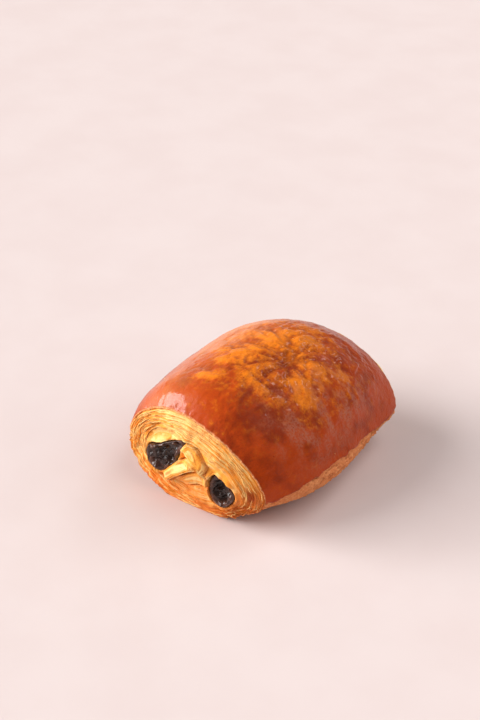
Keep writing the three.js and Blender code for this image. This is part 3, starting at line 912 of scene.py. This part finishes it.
def stick_face(ring, side):
    """Rings of a stick's broken face, from its edge to its middle, with its cracks and its raised brim."""
    centre = ring.mean(0)
    shares = np.linspace(*CAP_SHARES, STICK_CAP_ROWS)[:, None, None]
    cap = centre + (ring - centre) * shares
    across = shares[..., 0]
    flat = cap * (1, 0, 1)
    hollow = -FACE_HOLLOW * (1 - across**2) * (0.6 + 0.8 * grain(flat, 7, 55 + side))
    cracks = 1 - 2 * np.abs(layers(flat, 7, 50 + side, 2, 0.4))
    crags = 1.3 * layers(flat, 4.4, 60 + side, 2, 0.4) + 0.45 * layers(flat, 1.7, 65 + side, 2)
    crags = (crags - 0.8 * ease(cracks, 0.6, 1.0)) * MM
    out = 0.2 * MM + FACE_BRIM * bell(across - 0.8, 0.17) + hollow + crags * ease(1 - across, 0, 0.15)
    cap[..., 1] += side * out
    # Masks: the cracks, and the brim, which takes the painted sheen
    return cap, ease(cracks, 0.45, 0.98), bell(across - 0.85, 0.2) + 0 * cracks


def build_stick(name):
    """A stick of chocolate: a bar whose front end was squashed, with cracked and melted faces."""
    front, bar = STICKS[name]
    front_ring = smooth_outline(front, STICK_AROUND)
    rear_ring = smooth_outline(bar_outline(bar, front), STICK_AROUND)
    end_y = CRUST_LENGTH / 2 + swell(STICK_SHARE) - EYE_RECESS - CRUST_LIP - STICK_RECESS
    y = np.linspace(-end_y, end_y, STICK_BODY_ROWS)[:, None]
    ring = mix(front_ring, rear_ring, ease(y / CRUST_LENGTH, *STICK_BLEND)[..., None])
    body = stacked(ring[..., 0], y, ring[..., 1])
    (front_cap, *front_masks), (rear_cap, *rear_masks) = stick_face(body[0], -1), stick_face(body[-1], 1)
    rings = np.concatenate([front_cap[::-1], body, rear_cap])
    crack, brim = (
        np.concatenate([before[::-1], np.full(body.shape[:2], plain), after])
        for before, plain, after in zip(front_masks, (0.0, 1.0), rear_masks)
    )
    return closed_piece(name + "_fine", rings, {"crack": crack, "brim": brim})


class Signal:
    """A value that flows between nodes, to be used with the signs of arithmetic."""

    def __init__(self, wiring, socket):
        self.wiring = wiring
        self.socket = socket

    def __add__(self, other):
        return self.wiring.math("ADD", self, other)

    def __sub__(self, other):
        return self.wiring.math("SUBTRACT", self, other)

    def __mul__(self, other):
        return self.wiring.math("MULTIPLY", self, other)

    def spread(self, low, high, new_low=0.0, new_high=1.0):
        """Maps low..high to new_low..new_high smoothly, and holds it there."""
        numbers = enumerate((self, low, high, new_low, new_high))
        return self.wiring.out("ShaderNodeMapRange", dict(numbers), interpolation_type="SMOOTHSTEP")


class Wiring:
    """Adds nodes to a tree and links them, for shaders and for geometry."""

    def __init__(self, tree):
        self.tree = tree

    def add(self, kind, inputs=None, **settings):
        made = self.tree.nodes.new(kind)
        for key, value in settings.items():
            setattr(made, key, value)
        for key, value in (inputs or {}).items():
            self.feed(made.inputs[key], value)
        return made

    def out(self, kind, inputs=None, output=0, **settings):
        """One output of a new node."""
        return Signal(self, self.add(kind, inputs, **settings).outputs[output])

    def feed(self, socket, value):
        if isinstance(value, Signal):
            self.tree.links.new(value.socket, socket)
        else:
            socket.default_value = value

    def named(self, node):
        """The outputs of a node by their names."""
        return {socket.name: Signal(self, socket) for socket in node.outputs if socket.name}

    def math(self, operation, *values):
        return self.out("ShaderNodeMath", dict(enumerate(values)), operation=operation)

    def vector(self, operation, a, b):
        """Adds to a vector, takes from it or scales it."""
        inputs = {0: a, 3 if operation == "SCALE" else 1: b}
        return self.out("ShaderNodeVectorMath", inputs, operation=operation)

    def mask(self, name):
        return self.out("ShaderNodeAttribute", output="Fac", attribute_name=name)

    def stored(self, name, kind):
        return self.out("GeometryNodeInputNamedAttribute", {"Name": name}, data_type=kind)

    def painted(self, colour, coats):
        """A colour under further colours, each laid over the last with its share."""
        for share, coat in coats:
            a, b = (c if isinstance(c, Signal) else (*c, 1.0) for c in (colour, coat))
            colour = self.out("ShaderNodeMix", {0: share, 6: a, 7: b}, 2, data_type="RGBA")
        return colour

    def bump(self, height, strength, distance):
        inputs = {"Height": height, "Strength": strength, "Distance": distance}
        return self.out("ShaderNodeBump", inputs, "Normal")

    def dress(self, shader, values):
        for socket, value in values.items():
            self.feed(shader.inputs[socket], value)


def new_tree(name, kind, numbers, outputs):
    """A node group as its wiring, its inputs by name and its output node; geometry runs through it."""
    tree = bpy.data.node_groups.new(name, kind)
    if kind == "GeometryNodeTree":
        tree.interface.new_socket(name="Geometry", in_out="INPUT", socket_type="NodeSocketGeometry")
    for socket, default in numbers.items():
        number = "NodeSocketInt" if isinstance(default, int) else "NodeSocketFloat"
        tree.interface.new_socket(name=socket, in_out="INPUT", socket_type=number).default_value = default
    for socket in outputs:
        carried = "NodeSocketGeometry" if socket == "Geometry" else "NodeSocketFloat"
        tree.interface.new_socket(name=socket, in_out="OUTPUT", socket_type=carried)
    wiring = Wiring(tree)
    return wiring, wiring.named(wiring.add("NodeGroupInput")), wiring.add("NodeGroupOutput")


def scattered_cells(w, place, scale):
    """Distance to the nearest of scattered points, and that point's own chance between 0 and 1."""
    cells = w.named(w.add("ShaderNodeTexVoronoi", {"Vector": place, "Scale": scale}))
    chance = w.out("ShaderNodeTexWhiteNoise", {"Vector": cells["Position"]}, "Value")
    return cells["Distance"], chance


def grain_group():
    """Mottling in two sizes and fine pitting, on object coordinates, which all materials share."""
    name = "Baked grain"
    if name in bpy.data.node_groups:
        return bpy.data.node_groups[name]
    numbers = {"Broad scale": 150.0, "Fine scale": 900.0, "Pit scale": 450.0, "Pit size": 0.2}
    w, given, leave = new_tree(name, "ShaderNodeTree", numbers, ("Broad", "Fine", "Pits"))
    place = w.out("ShaderNodeTexCoord", output="Object")
    for layer, detail in (("Broad", 4.0), ("Fine", 5.0)):
        inputs = {"Vector": place, "Scale": given[layer + " scale"], "Detail": detail}
        w.feed(leave.inputs[layer], w.out("ShaderNodeTexNoise", inputs, 0))
    distance, chance = scattered_cells(w, place, given["Pit scale"])
    w.feed(leave.inputs["Pits"], w.math("LESS_THAN", distance, chance * given["Pit size"]))
    return w.tree


def new_material(name, **grain_settings):
    """A material with its wiring, its Principled shader and the outputs of the grain group in it."""
    material = bpy.data.materials.new(name)
    material.use_nodes = True
    w = Wiring(material.node_tree)
    shader = next(n for n in material.node_tree.nodes if n.type == "BSDF_PRINCIPLED")
    baked = w.add("ShaderNodeGroup", node_tree=grain_group())
    for socket, value in grain_settings.items():
        baked.inputs[socket.replace("_", " ").capitalize()].default_value = value
    return material, w, shader, w.named(baked)


def crust_material(looks):
    """Egg-washed crust: deep red-brown, amber where the glaze is thin, pale and rough at the foot."""
    material, w, shader, baked = new_material(
        "Glazed crust", broad_scale=190.0, fine_scale=1300.0, pit_scale=420.0, pit_size=0.13
    )
    broad, fine = baked["Broad"] - 0.5, baked["Fine"] - 0.5
    above = w.out("ShaderNodeSeparateXYZ", {0: w.out("ShaderNodeTexCoord", output="Object")}, "Z")
    amber, hollow, foot_share = w.mask("amber"), w.mask("hollow"), w.mask("foot")
    bake = w.mask("bake") + broad + fine * 0.6
    mottle = (fine * 1.2 + broad * 0.9) * amber.spread(0.0, 0.5, 0.3, 1.0)
    # Painted sheen on the left shoulder
    tan = w.mask("tan") * baked["Broad"].spread(0.3, 0.7, 0.5, 0.9)
    # Painted greyish sheen on the right side, also rougher
    haze = w.mask("haze") * baked["Fine"].spread(0.35, 0.62, 0.2, 0.9)
    # Pale edge round an end: dry flakes, with a painted highlight
    rim = w.mask("rim") * baked["Fine"].spread(0.35, 0.6, 0.4, 0.95)
    foot = w.painted(looks.foot, (
        (baked["Fine"].spread(0.45, 0.8, 0.0, 0.5), looks.base),
        (baked["Fine"].spread(0.5, 0.3, 0.0, 0.75), looks.crust_rim),
        (baked["Broad"].spread(0.4, 0.75, 0.0, 0.35), looks.crust_rim),
        (baked["Pits"] * 0.8, looks.base),
        (above.spread(0.0, 9 * MM, 0.75, 0.0), looks.base),
        # Painted shade in the foot's deepest hollows
        (hollow.spread(0.85, 1.0, 0.0, 0.35), looks.crust_deep),
    ))
    skin = w.painted(looks.crust_red, (
        (bake.spread(0.25, 1.0), looks.crust_deep),
        ((amber + mottle).spread(0.0, 1.25), looks.crust_amber),
        (tan, looks.crust_left_sheen),
        (haze, looks.crust_haze),
        # Painted shade in the crust's hollows
        (hollow.spread(0.1, 1.0, 0.0, 0.6), looks.crust_deep),
        (baked["Pits"] * 0.7, looks.crust_deep),
        (rim, looks.crust_rim),
        (foot_share, foot),
    ))
    dull = w.math("MAXIMUM", foot_share, w.math("MAXIMUM", rim, haze * 0.8))
    glaze = above.spread(*GLAZE_HEIGHTS, *GLAZE_WEIGHTS) * dull.spread(0.0, 1.0, 1.0, 0.0)
    height = baked["Fine"] * 0.7 + baked["Broad"] * 0.6 - baked["Pits"] * 0.6
    w.dress(shader, {
        "Base Color": skin, "Roughness": dull.spread(0.0, 1.0, 0.42, 0.85), "Coat Weight": glaze,
        "Coat Roughness": GLAZE_ROUGHNESS, "Specular IOR Level": CRUST_SPECULAR,
        "Normal": w.bump(height * foot_share.spread(0.0, 1.0, 1.0, 2.2), 0.6, 0.5 * MM),
    })
    return material


def dough_material(looks):
    """Leaves of pastry: pale golden faces, toasted patches, thin brown seams that follow the leaves, and
    painted shade in the sticks' pockets, in the folds' dents, along the flaps' edges and under the crust's
    lip.
    """
    material, w, shader, baked = new_material(
        "Laminated dough", broad_scale=260.0, fine_scale=1500.0, pit_scale=420.0, pit_size=0.2
    )
    broad = baked["Broad"] - 0.5
    leaf = w.mask("leaf") - LEAF_SHARES[-1] + broad * 0.9
    seams, hairs = (w.math("COSINE", leaf * (turns * math.pi)).spread(0.3, 1.0) for turns in (2, 6))
    bands = w.math("SINE", leaf * (0.62 * math.pi)).spread(-0.2, 1.0)
    threads = (seams + hairs * 0.35) * w.mask("lines")
    toast = w.mask("toast") + broad * 1.5 + bands * 0.75
    # Seams, with the painted shade of the pockets and the flaps' edges
    groove = w.mask("groove") * baked["Fine"].spread(0.25, 0.6, 0.6, 1.0)
    dough = w.painted(looks.dough_pale, (
        (toast.spread(0.25, 1.1), looks.dough_toast),
        (w.mask("low"), looks.dough_deep),
        (threads * 0.68, looks.dough_seam),
        (groove * 0.85, looks.dough_seam),
        (baked["Pits"] * 0.6, looks.dough_seam),
        # The crust's red at the edge, partly painted shade under the crust's lip
        (w.mask("edge") * 0.6, looks.crust_red),
    ))
    w.dress(shader, {
        "Base Color": dough, "Roughness": baked["Fine"].spread(0.3, 0.7, 0.45, 0.7),
        "Normal": w.bump(baked["Fine"] - threads * 0.6, 0.6, 0.4 * MM),
    })
    return material


def chocolate_material(looks):
    """Dark chocolate that melted and set: glossy, with dark cracks, and a painted purple-brown sheen on its
    brims and sides.
    """
    material, w, shader, baked = new_material(
        "Dark chocolate", broad_scale=320.0, fine_scale=1100.0, pit_scale=600.0, pit_size=0.1
    )
    # Painted purple-brown sheen on the brims and sides, missing in the cracks
    brim_sheen = w.mask("brim") * baked["Broad"].spread(0.35, 0.65, 0.3, 1.0)
    cracks = w.mask("crack") * 0.6
    dark = w.painted(looks.chocolate, ((brim_sheen, looks.chocolate_sheen), (cracks, looks.chocolate)))
    w.dress(shader, {
        "Base Color": dark, "Roughness": baked["Broad"].spread(0.3, 0.75, 0.12, 0.3),
        "Specular IOR Level": CHOCOLATE_SPECULAR,
        "Normal": w.bump(baked["Broad"] + baked["Fine"] * 0.3, 0.5, 0.8 * MM),
    })
    return material


def floor_material(looks):
    material, w, shader, baked = new_material("Pale floor", broad_scale=30.0, fine_scale=900.0)
    soft = baked["Broad"].spread(0.3, 0.7) * 0.05
    pale = w.painted(looks.floor, ((soft, (1.0, 1.0, 1.0)),))
    w.dress(shader, {"Base Color": pale, "Roughness": FLOOR_ROUGHNESS})
    return material


def finish_tree(w, leave, geometry, material):
    """Ends a tree in Realize Instances and Set Material."""
    real = w.out("GeometryNodeRealizeInstances", {"Geometry": geometry})
    w.feed(leave.inputs[0], w.out("GeometryNodeSetMaterial", {"Geometry": real, "Material": material}))
    return w.tree


def grown(base, name, tree, values):
    """Runs a geometry tree on an object, which is then discarded, and keeps its result as a mesh piece."""
    modifier = base.modifiers.new(name, "NODES")
    modifier.node_group = tree
    for item in tree.interface.items_tree:
        if item.in_out == "INPUT" and item.name in values:
            modifier[item.identifier] = values[item.name]
    bpy.context.view_layer.update()
    graph = bpy.context.evaluated_depsgraph_get()
    result = base.evaluated_get(graph)
    mesh = bpy.data.meshes.new_from_object(result, preserve_all_data_layers=True, depsgraph=graph)
    if not mesh.polygons:
        raise RuntimeError(name + " came out empty")
    mesh.name = name
    plain = base.data
    bpy.data.objects.remove(base)
    bpy.data.meshes.remove(plain)
    return linked(name, mesh)


def pore_tree(material):
    """Sinks scattered pin holes into the crust and raises a few small blisters."""
    numbers = {"Depth": 0.2 * MM, "Scale": 220.0, "Blister": 0.3 * MM, "Blister scale": 90.0, "Seed": 1}
    w, given, leave = new_tree("Pores and blisters", "GeometryNodeTree", numbers, ("Geometry",))
    place = w.out("GeometryNodeInputPosition")
    shifted = w.vector("ADD", place, given["Seed"] * 0.013)
    bumps = []
    for scale, reach, rarest in ((given["Scale"], 0.34, 0.65), (given["Blister scale"], 0.3, 0.8)):
        distance, chance = scattered_cells(w, shifted, scale)
        bumps.append(distance.spread(0.0, reach, 1.0, 0.0) * chance.spread(rarest, 1.0))
    height = bumps[1] * given["Blister"] - bumps[0] * given["Depth"]
    height = height * w.out("ShaderNodeSeparateXYZ", {0: place}, "Z").spread(3 * MM, 8 * MM)
    offset = w.vector("SCALE", w.out("GeometryNodeInputNormal"), height)
    moved = w.out("GeometryNodeSetPosition", {"Geometry": given["Geometry"], "Offset": offset})
    return finish_tree(w, leave, moved, material)


def strip_tree(material):
    """Raises a thin closed leaf of pastry from each edge line, along its own lift."""
    numbers = {"Lift": 1.0, "Thickness": 0.16 * MM, "Crumple": 0.3 * MM, "Seed": 1}
    w, given, leave = new_tree("Loose leaves", "GeometryNodeTree", numbers, ("Geometry",))
    lift = w.stored("lift", "FLOAT_VECTOR")
    raised, top = given["Geometry"], True
    for share in (0.4, 0.35, 0.25):
        offset = w.vector("SCALE", lift, given["Lift"] * share)
        inputs = {"Mesh": raised, "Selection": top, "Offset": offset, "Offset Scale": 1.0}
        sheet = w.named(w.add("GeometryNodeExtrudeMesh", inputs, mode="EDGES"))
        raised, top = sheet["Mesh"], sheet["Top"]
    place = w.out("GeometryNodeInputPosition")
    inputs = {"Vector": place, "W": given["Seed"], "Scale": 420.0, "Detail": 2.0}
    wild = w.out("ShaderNodeTexNoise", inputs, "Color", noise_dimensions="4D")
    crumple = w.vector("SCALE", w.vector("SUBTRACT", wild, (0.5, 0.5, 0.5)), given["Crumple"])
    bent = w.out("GeometryNodeSetPosition", {"Geometry": raised, "Offset": crumple})
    inputs = {"Mesh": bent, "Offset Scale": given["Thickness"], "Individual": False}
    both = w.add("GeometryNodeJoinGeometry")
    w.feed(both.inputs[0], w.out("GeometryNodeExtrudeMesh", inputs, "Mesh", mode="FACES"))
    w.feed(both.inputs[0], w.out("GeometryNodeFlipFaces", {"Mesh": bent}))
    joined = w.named(both)["Geometry"]
    closed = w.out("GeometryNodeMergeByDistance", {"Geometry": joined, "Distance": MERGE_DISTANCE})
    return finish_tree(w, leave, w.out("GeometryNodeSetShadeSmooth", {"Geometry": closed}), material)


def crumb_tree(material):
    """Scatters small rough grains over a surface, thicker where its crumb mask is high."""
    numbers = {"Density": 20000.0, "Size": 0.6 * MM, "Seed": 1}
    w, given, leave = new_tree("Crumbs", "GeometryNodeTree", numbers, ("Geometry",))
    mask = w.stored("crumbs", "FLOAT")
    inputs = {"Mesh": given["Geometry"], "Density": mask * given["Density"], "Seed": given["Seed"]}
    spots = w.named(w.add("GeometryNodeDistributePointsOnFaces", inputs))
    ball = w.out("GeometryNodeMeshIcoSphere", {"Radius": 0.5, "Subdivisions": 2})
    place = w.out("GeometryNodeInputPosition")
    rough = w.out("ShaderNodeTexNoise", {"Vector": place, "Scale": 2.6, "Detail": 1.0})
    shape = w.vector("SCALE", place, rough.spread(0.3, 0.7, 0.45, 1.3))
    lump = w.out("GeometryNodeSetPosition", {"Geometry": ball, "Position": shape})
    inputs = {"Min": (0.35, 0.35, 0.2), "Max": (1.5, 1.1, 0.7), "Seed": given["Seed"]}
    sizes = w.out("FunctionNodeRandomValue", inputs, data_type="FLOAT_VECTOR")
    scale = w.vector("SCALE", sizes, given["Size"])
    placed = w.out("GeometryNodeInstanceOnPoints", {
        "Points": spots["Points"], "Instance": lump, "Rotation": spots["Rotation"], "Scale": scale,
    })
    return finish_tree(w, leave, placed, material)


def arc_lines(end, settings, seed):
    """Edge lines along the leaves of an end, with the vector that raises a loose leaf at each point."""
    draw = np.random.default_rng(seed)
    points, lines, raises, first = [], [], [], 0
    for _ in range(LOOSE_COUNT):
        start = draw.uniform(0, 360)
        turn = draw.uniform(*LOOSE_TURNS)
        ring = draw.uniform(*LOOSE_RINGS)
        lift = draw.uniform(*LOOSE_LIFTS) * MM
        steps = max(6, int(turn / LOOSE_STEP))
        angle = start + np.linspace(0, turn, steps)
        drift = ring + 0.012 * np.sin(np.linspace(0, 3, steps) + start)
        place, _ = end_surface(end, drift, angle, settings)
        away = stacked(place[:, 0] - EYE_X, 0, place[:, 2] - EYE_Z)
        away = away / np.linalg.norm(away, axis=1, keepdims=True)
        fade = np.sin(np.linspace(0, math.pi, steps)) ** 0.6
        uneven = 0.7 + 0.6 * noise(place / (3 * MM), seed)
        lean = draw.uniform(-0.15, 0.45)
        raises.append((stacked(0, float(end["side"]), 0) + away * lean) * (lift * fade * uneven)[:, None])
        points.append(place - (0, end["side"] * LOOSE_ROOT, 0))
        lines += [(first + i, first + i + 1) for i in range(steps - 1)]
        first += steps
    return np.concatenate(points), lines, np.concatenate(raises)


def line_object(name, points, lines, lifts):
    """Lines from which loose leaves are raised, with the masks of the dough."""
    made = linked(name, new_mesh(name, points, lines, []))
    attribute = made.data.attributes.new("lift", "FLOAT_VECTOR", "POINT")
    attribute.data.foreach_set("vector", np.ascontiguousarray(lifts, np.float32).ravel())
    for mask in ("toast", "groove", "edge", "leaf", "low", "lines"):
        write_mask(made, mask, np.full(len(points), LOOSE_TOAST if mask == "toast" else 0.0))
    return made


def settled(piece, slot, *nodes):
    """Ties a finished piece to the roll and hides the solids it stands for. Its slot is not used."""
    if nodes:
        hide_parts(*nodes)
    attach(piece, BODY)


class PASTRY_OT_crust(bpy.types.Operator):
    """Model the glazed crust with its pucker, wrinkles, pores and pale foot"""

    bl_idname = "pastry.crust"
    bl_label = "Crust"

    def execute(self, context):
        settings = context.scene.pastry_roll
        plain = build_crust(settings)
        values = {
            "Depth": settings.pore_depth, "Scale": PORE_SCALE, "Seed": SEED,
            "Blister": settings.blister_height * 1.6, "Blister scale": BLISTER_SCALE,
        }
        crust = grown(plain, "crust", pore_tree(crust_material(context.scene.pastry_looks)), values)
        settled(crust, "crust", "pastry")
        return {"FINISHED"}


class PASTRY_OT_ends(bpy.types.Operator):
    """Model the laminated dough at both ends"""

    bl_idname = "pastry.ends"
    bl_label = "Laminated ends"

    def execute(self, context):
        material = dough_material(context.scene.pastry_looks)
        for end, name in ((FRONT, "front_leaves"), (REAR, "rear_leaves")):
            piece = build_end(end, name, context.scene.pastry_roll)
            piece.data.materials.append(material)
            settled(piece, "crust", "pastry")
        return {"FINISHED"}


class PASTRY_OT_loose_leaves(bpy.types.Operator):
    """Raise thin loose leaves along the rings of both ends"""

    bl_idname = "pastry.loose_leaves"
    bl_label = "Loose leaves"

    def execute(self, context):
        settings = context.scene.pastry_roll
        tree = strip_tree(bpy.data.materials["Laminated dough"])
        for end, name, seed in ((FRONT, "front_loose_leaves", 5), (REAR, "rear_loose_leaves", 6)):
            base = line_object(name + "_lines", *arc_lines(end, settings, seed))
            thickness = settings.strip_thickness
            values = {"Lift": 1.0, "Thickness": thickness, "Crumple": LOOSE_CRUMPLE, "Seed": seed}
            settled(grown(base, name, tree, values), "crust", "pastry")
        return {"FINISHED"}


class PASTRY_OT_chocolate(bpy.types.Operator):
    """Model the two sticks of dark chocolate"""

    bl_idname = "pastry.chocolate"
    bl_label = "Chocolate sticks"

    def execute(self, context):
        material = chocolate_material(context.scene.pastry_looks)
        for node in STICKS:
            piece = build_stick(node)
            piece.data.materials.append(material)
            settled(piece, "chocolate", node)
        return {"FINISHED"}


class PASTRY_OT_crumbs(bpy.types.Operator):
    """Scatter small crumbs over the front end and the foot of the crust"""

    bl_idname = "pastry.crumbs"
    bl_label = "Crumbs"

    def execute(self, context):
        size = context.scene.pastry_roll.crumb_size
        tree = crumb_tree(bpy.data.materials["Laminated dough"])
        for name, source, mask, few, more, density, seed in CRUMBS:
            base = linked(name + "_base", bpy.data.objects[source].data.copy())
            dense = np.zeros(len(base.data.vertices), np.float32)
            base.data.attributes[mask].data.foreach_get("value", dense)
            write_mask(base, "crumbs", few + more * dense)
            settled(grown(base, name, tree, {"Density": density, "Size": size, "Seed": seed}), "crust")
        return {"FINISHED"}


class PASTRY_OT_stage(bpy.types.Operator):
    """Set the pale floor, the soft lights and the camera"""

    bl_idname = "pastry.stage"
    bl_label = "Stage"

    def execute(self, context):
        stage = context.scene.pastry_stage
        bpy.ops.mesh.primitive_plane_add(size=FLOOR_SIZE)
        floor = context.object
        floor.name = "floor"
        floor.data.materials.append(floor_material(context.scene.pastry_looks))
        for name, (direction, spread, mirrored) in LIGHTS.items():
            add_light(name, direction, spread, getattr(stage, name + "_strength"), mirrored)
        context.scene.world = pale_world(stage)
        context.scene.view_settings.view_transform = "Standard"
        add_camera(context.scene)
        return {"FINISHED"}


def pale_world(stage):
    """Weak even light, which the camera sees as pale as the floor."""
    world = bpy.data.worlds.new("Even light")
    world.use_nodes = True
    w = Wiring(world.node_tree)
    light = world.node_tree.nodes["Background"]
    light.inputs["Color"].default_value = EVEN_COLOUR
    light.inputs["Strength"].default_value = stage.world_strength
    seen = w.out("ShaderNodeBackground", {"Color": SEEN_COLOUR, "Strength": SEEN_STRENGTH})
    path = w.out("ShaderNodeLightPath", output="Is Camera Ray")
    both = w.out("ShaderNodeMixShader", {0: path, 1: w.named(light)["Background"], 2: seen})
    w.feed(world.node_tree.nodes["World Output"].inputs["Surface"], both)
    return world


def add_light(name, direction, spread, strength, mirrored):
    """A soft light from far off in a direction, spread degrees wide, which glaze mirrors or not."""
    light = bpy.data.lights.new(name, "SUN")
    light.angle = math.radians(spread)
    light.energy = strength
    made = linked(name, light)
    heading = math.atan2(direction[0], -direction[1])
    rise = math.atan2(direction[2], math.hypot(direction[0], direction[1]))
    made.rotation_euler = (math.pi / 2 - rise, 0, heading)
    made.location = direction
    made.visible_glossy = mirrored


def add_camera(scene):
    """The photograph's view: from above the front right, with a short telephoto lens."""
    camera = bpy.data.cameras.new("camera")
    camera.lens = CAMERA_LENS
    camera.sensor_width = CAMERA_SENSOR
    scene.camera = linked("camera", camera)
    scene.camera.location = CAMERA_PLACE + ROLL_SHIFT
    scene.camera.rotation_euler = (math.radians(90 - CAMERA_ELEVATION), 0, math.radians(CAMERA_AZIMUTH))


class PASTRY_PT_panel(bpy.types.Panel):
    """The steps of the pastry, in their order"""

    bl_label = "Pain au Chocolat"
    bl_idname = "PASTRY_PT_panel"
    bl_space_type = "VIEW_3D"
    bl_region_type = "UI"
    bl_category = "Pastry"

    def draw(self, context):
        for settings in (context.scene.pastry_roll, context.scene.pastry_looks, context.scene.pastry_stage):
            for name in settings.bl_rna.properties.keys():
                if name not in ("rna_type", "name"):
                    self.layout.prop(settings, name)
        for operator in OPERATORS:
            self.layout.operator(operator.bl_idname)


SETTINGS = {"pastry_roll": RollSettings, "pastry_looks": LookSettings, "pastry_stage": StageSettings}
OPERATORS = (
    PASTRY_OT_crust, PASTRY_OT_ends, PASTRY_OT_loose_leaves, PASTRY_OT_chocolate, PASTRY_OT_crumbs,
    PASTRY_OT_stage,
)


def register():
    for made in (*SETTINGS.values(), *OPERATORS, PASTRY_PT_panel):
        bpy.utils.register_class(made)
    for name, made in SETTINGS.items():
        setattr(bpy.types.Scene, name, PointerProperty(type=made))


def unregister():
    for name in SETTINGS:
        delattr(bpy.types.Scene, name)
    for made in reversed((*SETTINGS.values(), *OPERATORS, PASTRY_PT_panel)):
        bpy.utils.unregister_class(made)


def main():
    register()
    for operator in OPERATORS:
        group, name = operator.bl_idname.split(".")
        getattr(getattr(bpy.ops, group), name)()


if __name__ == "__main__":
    main()
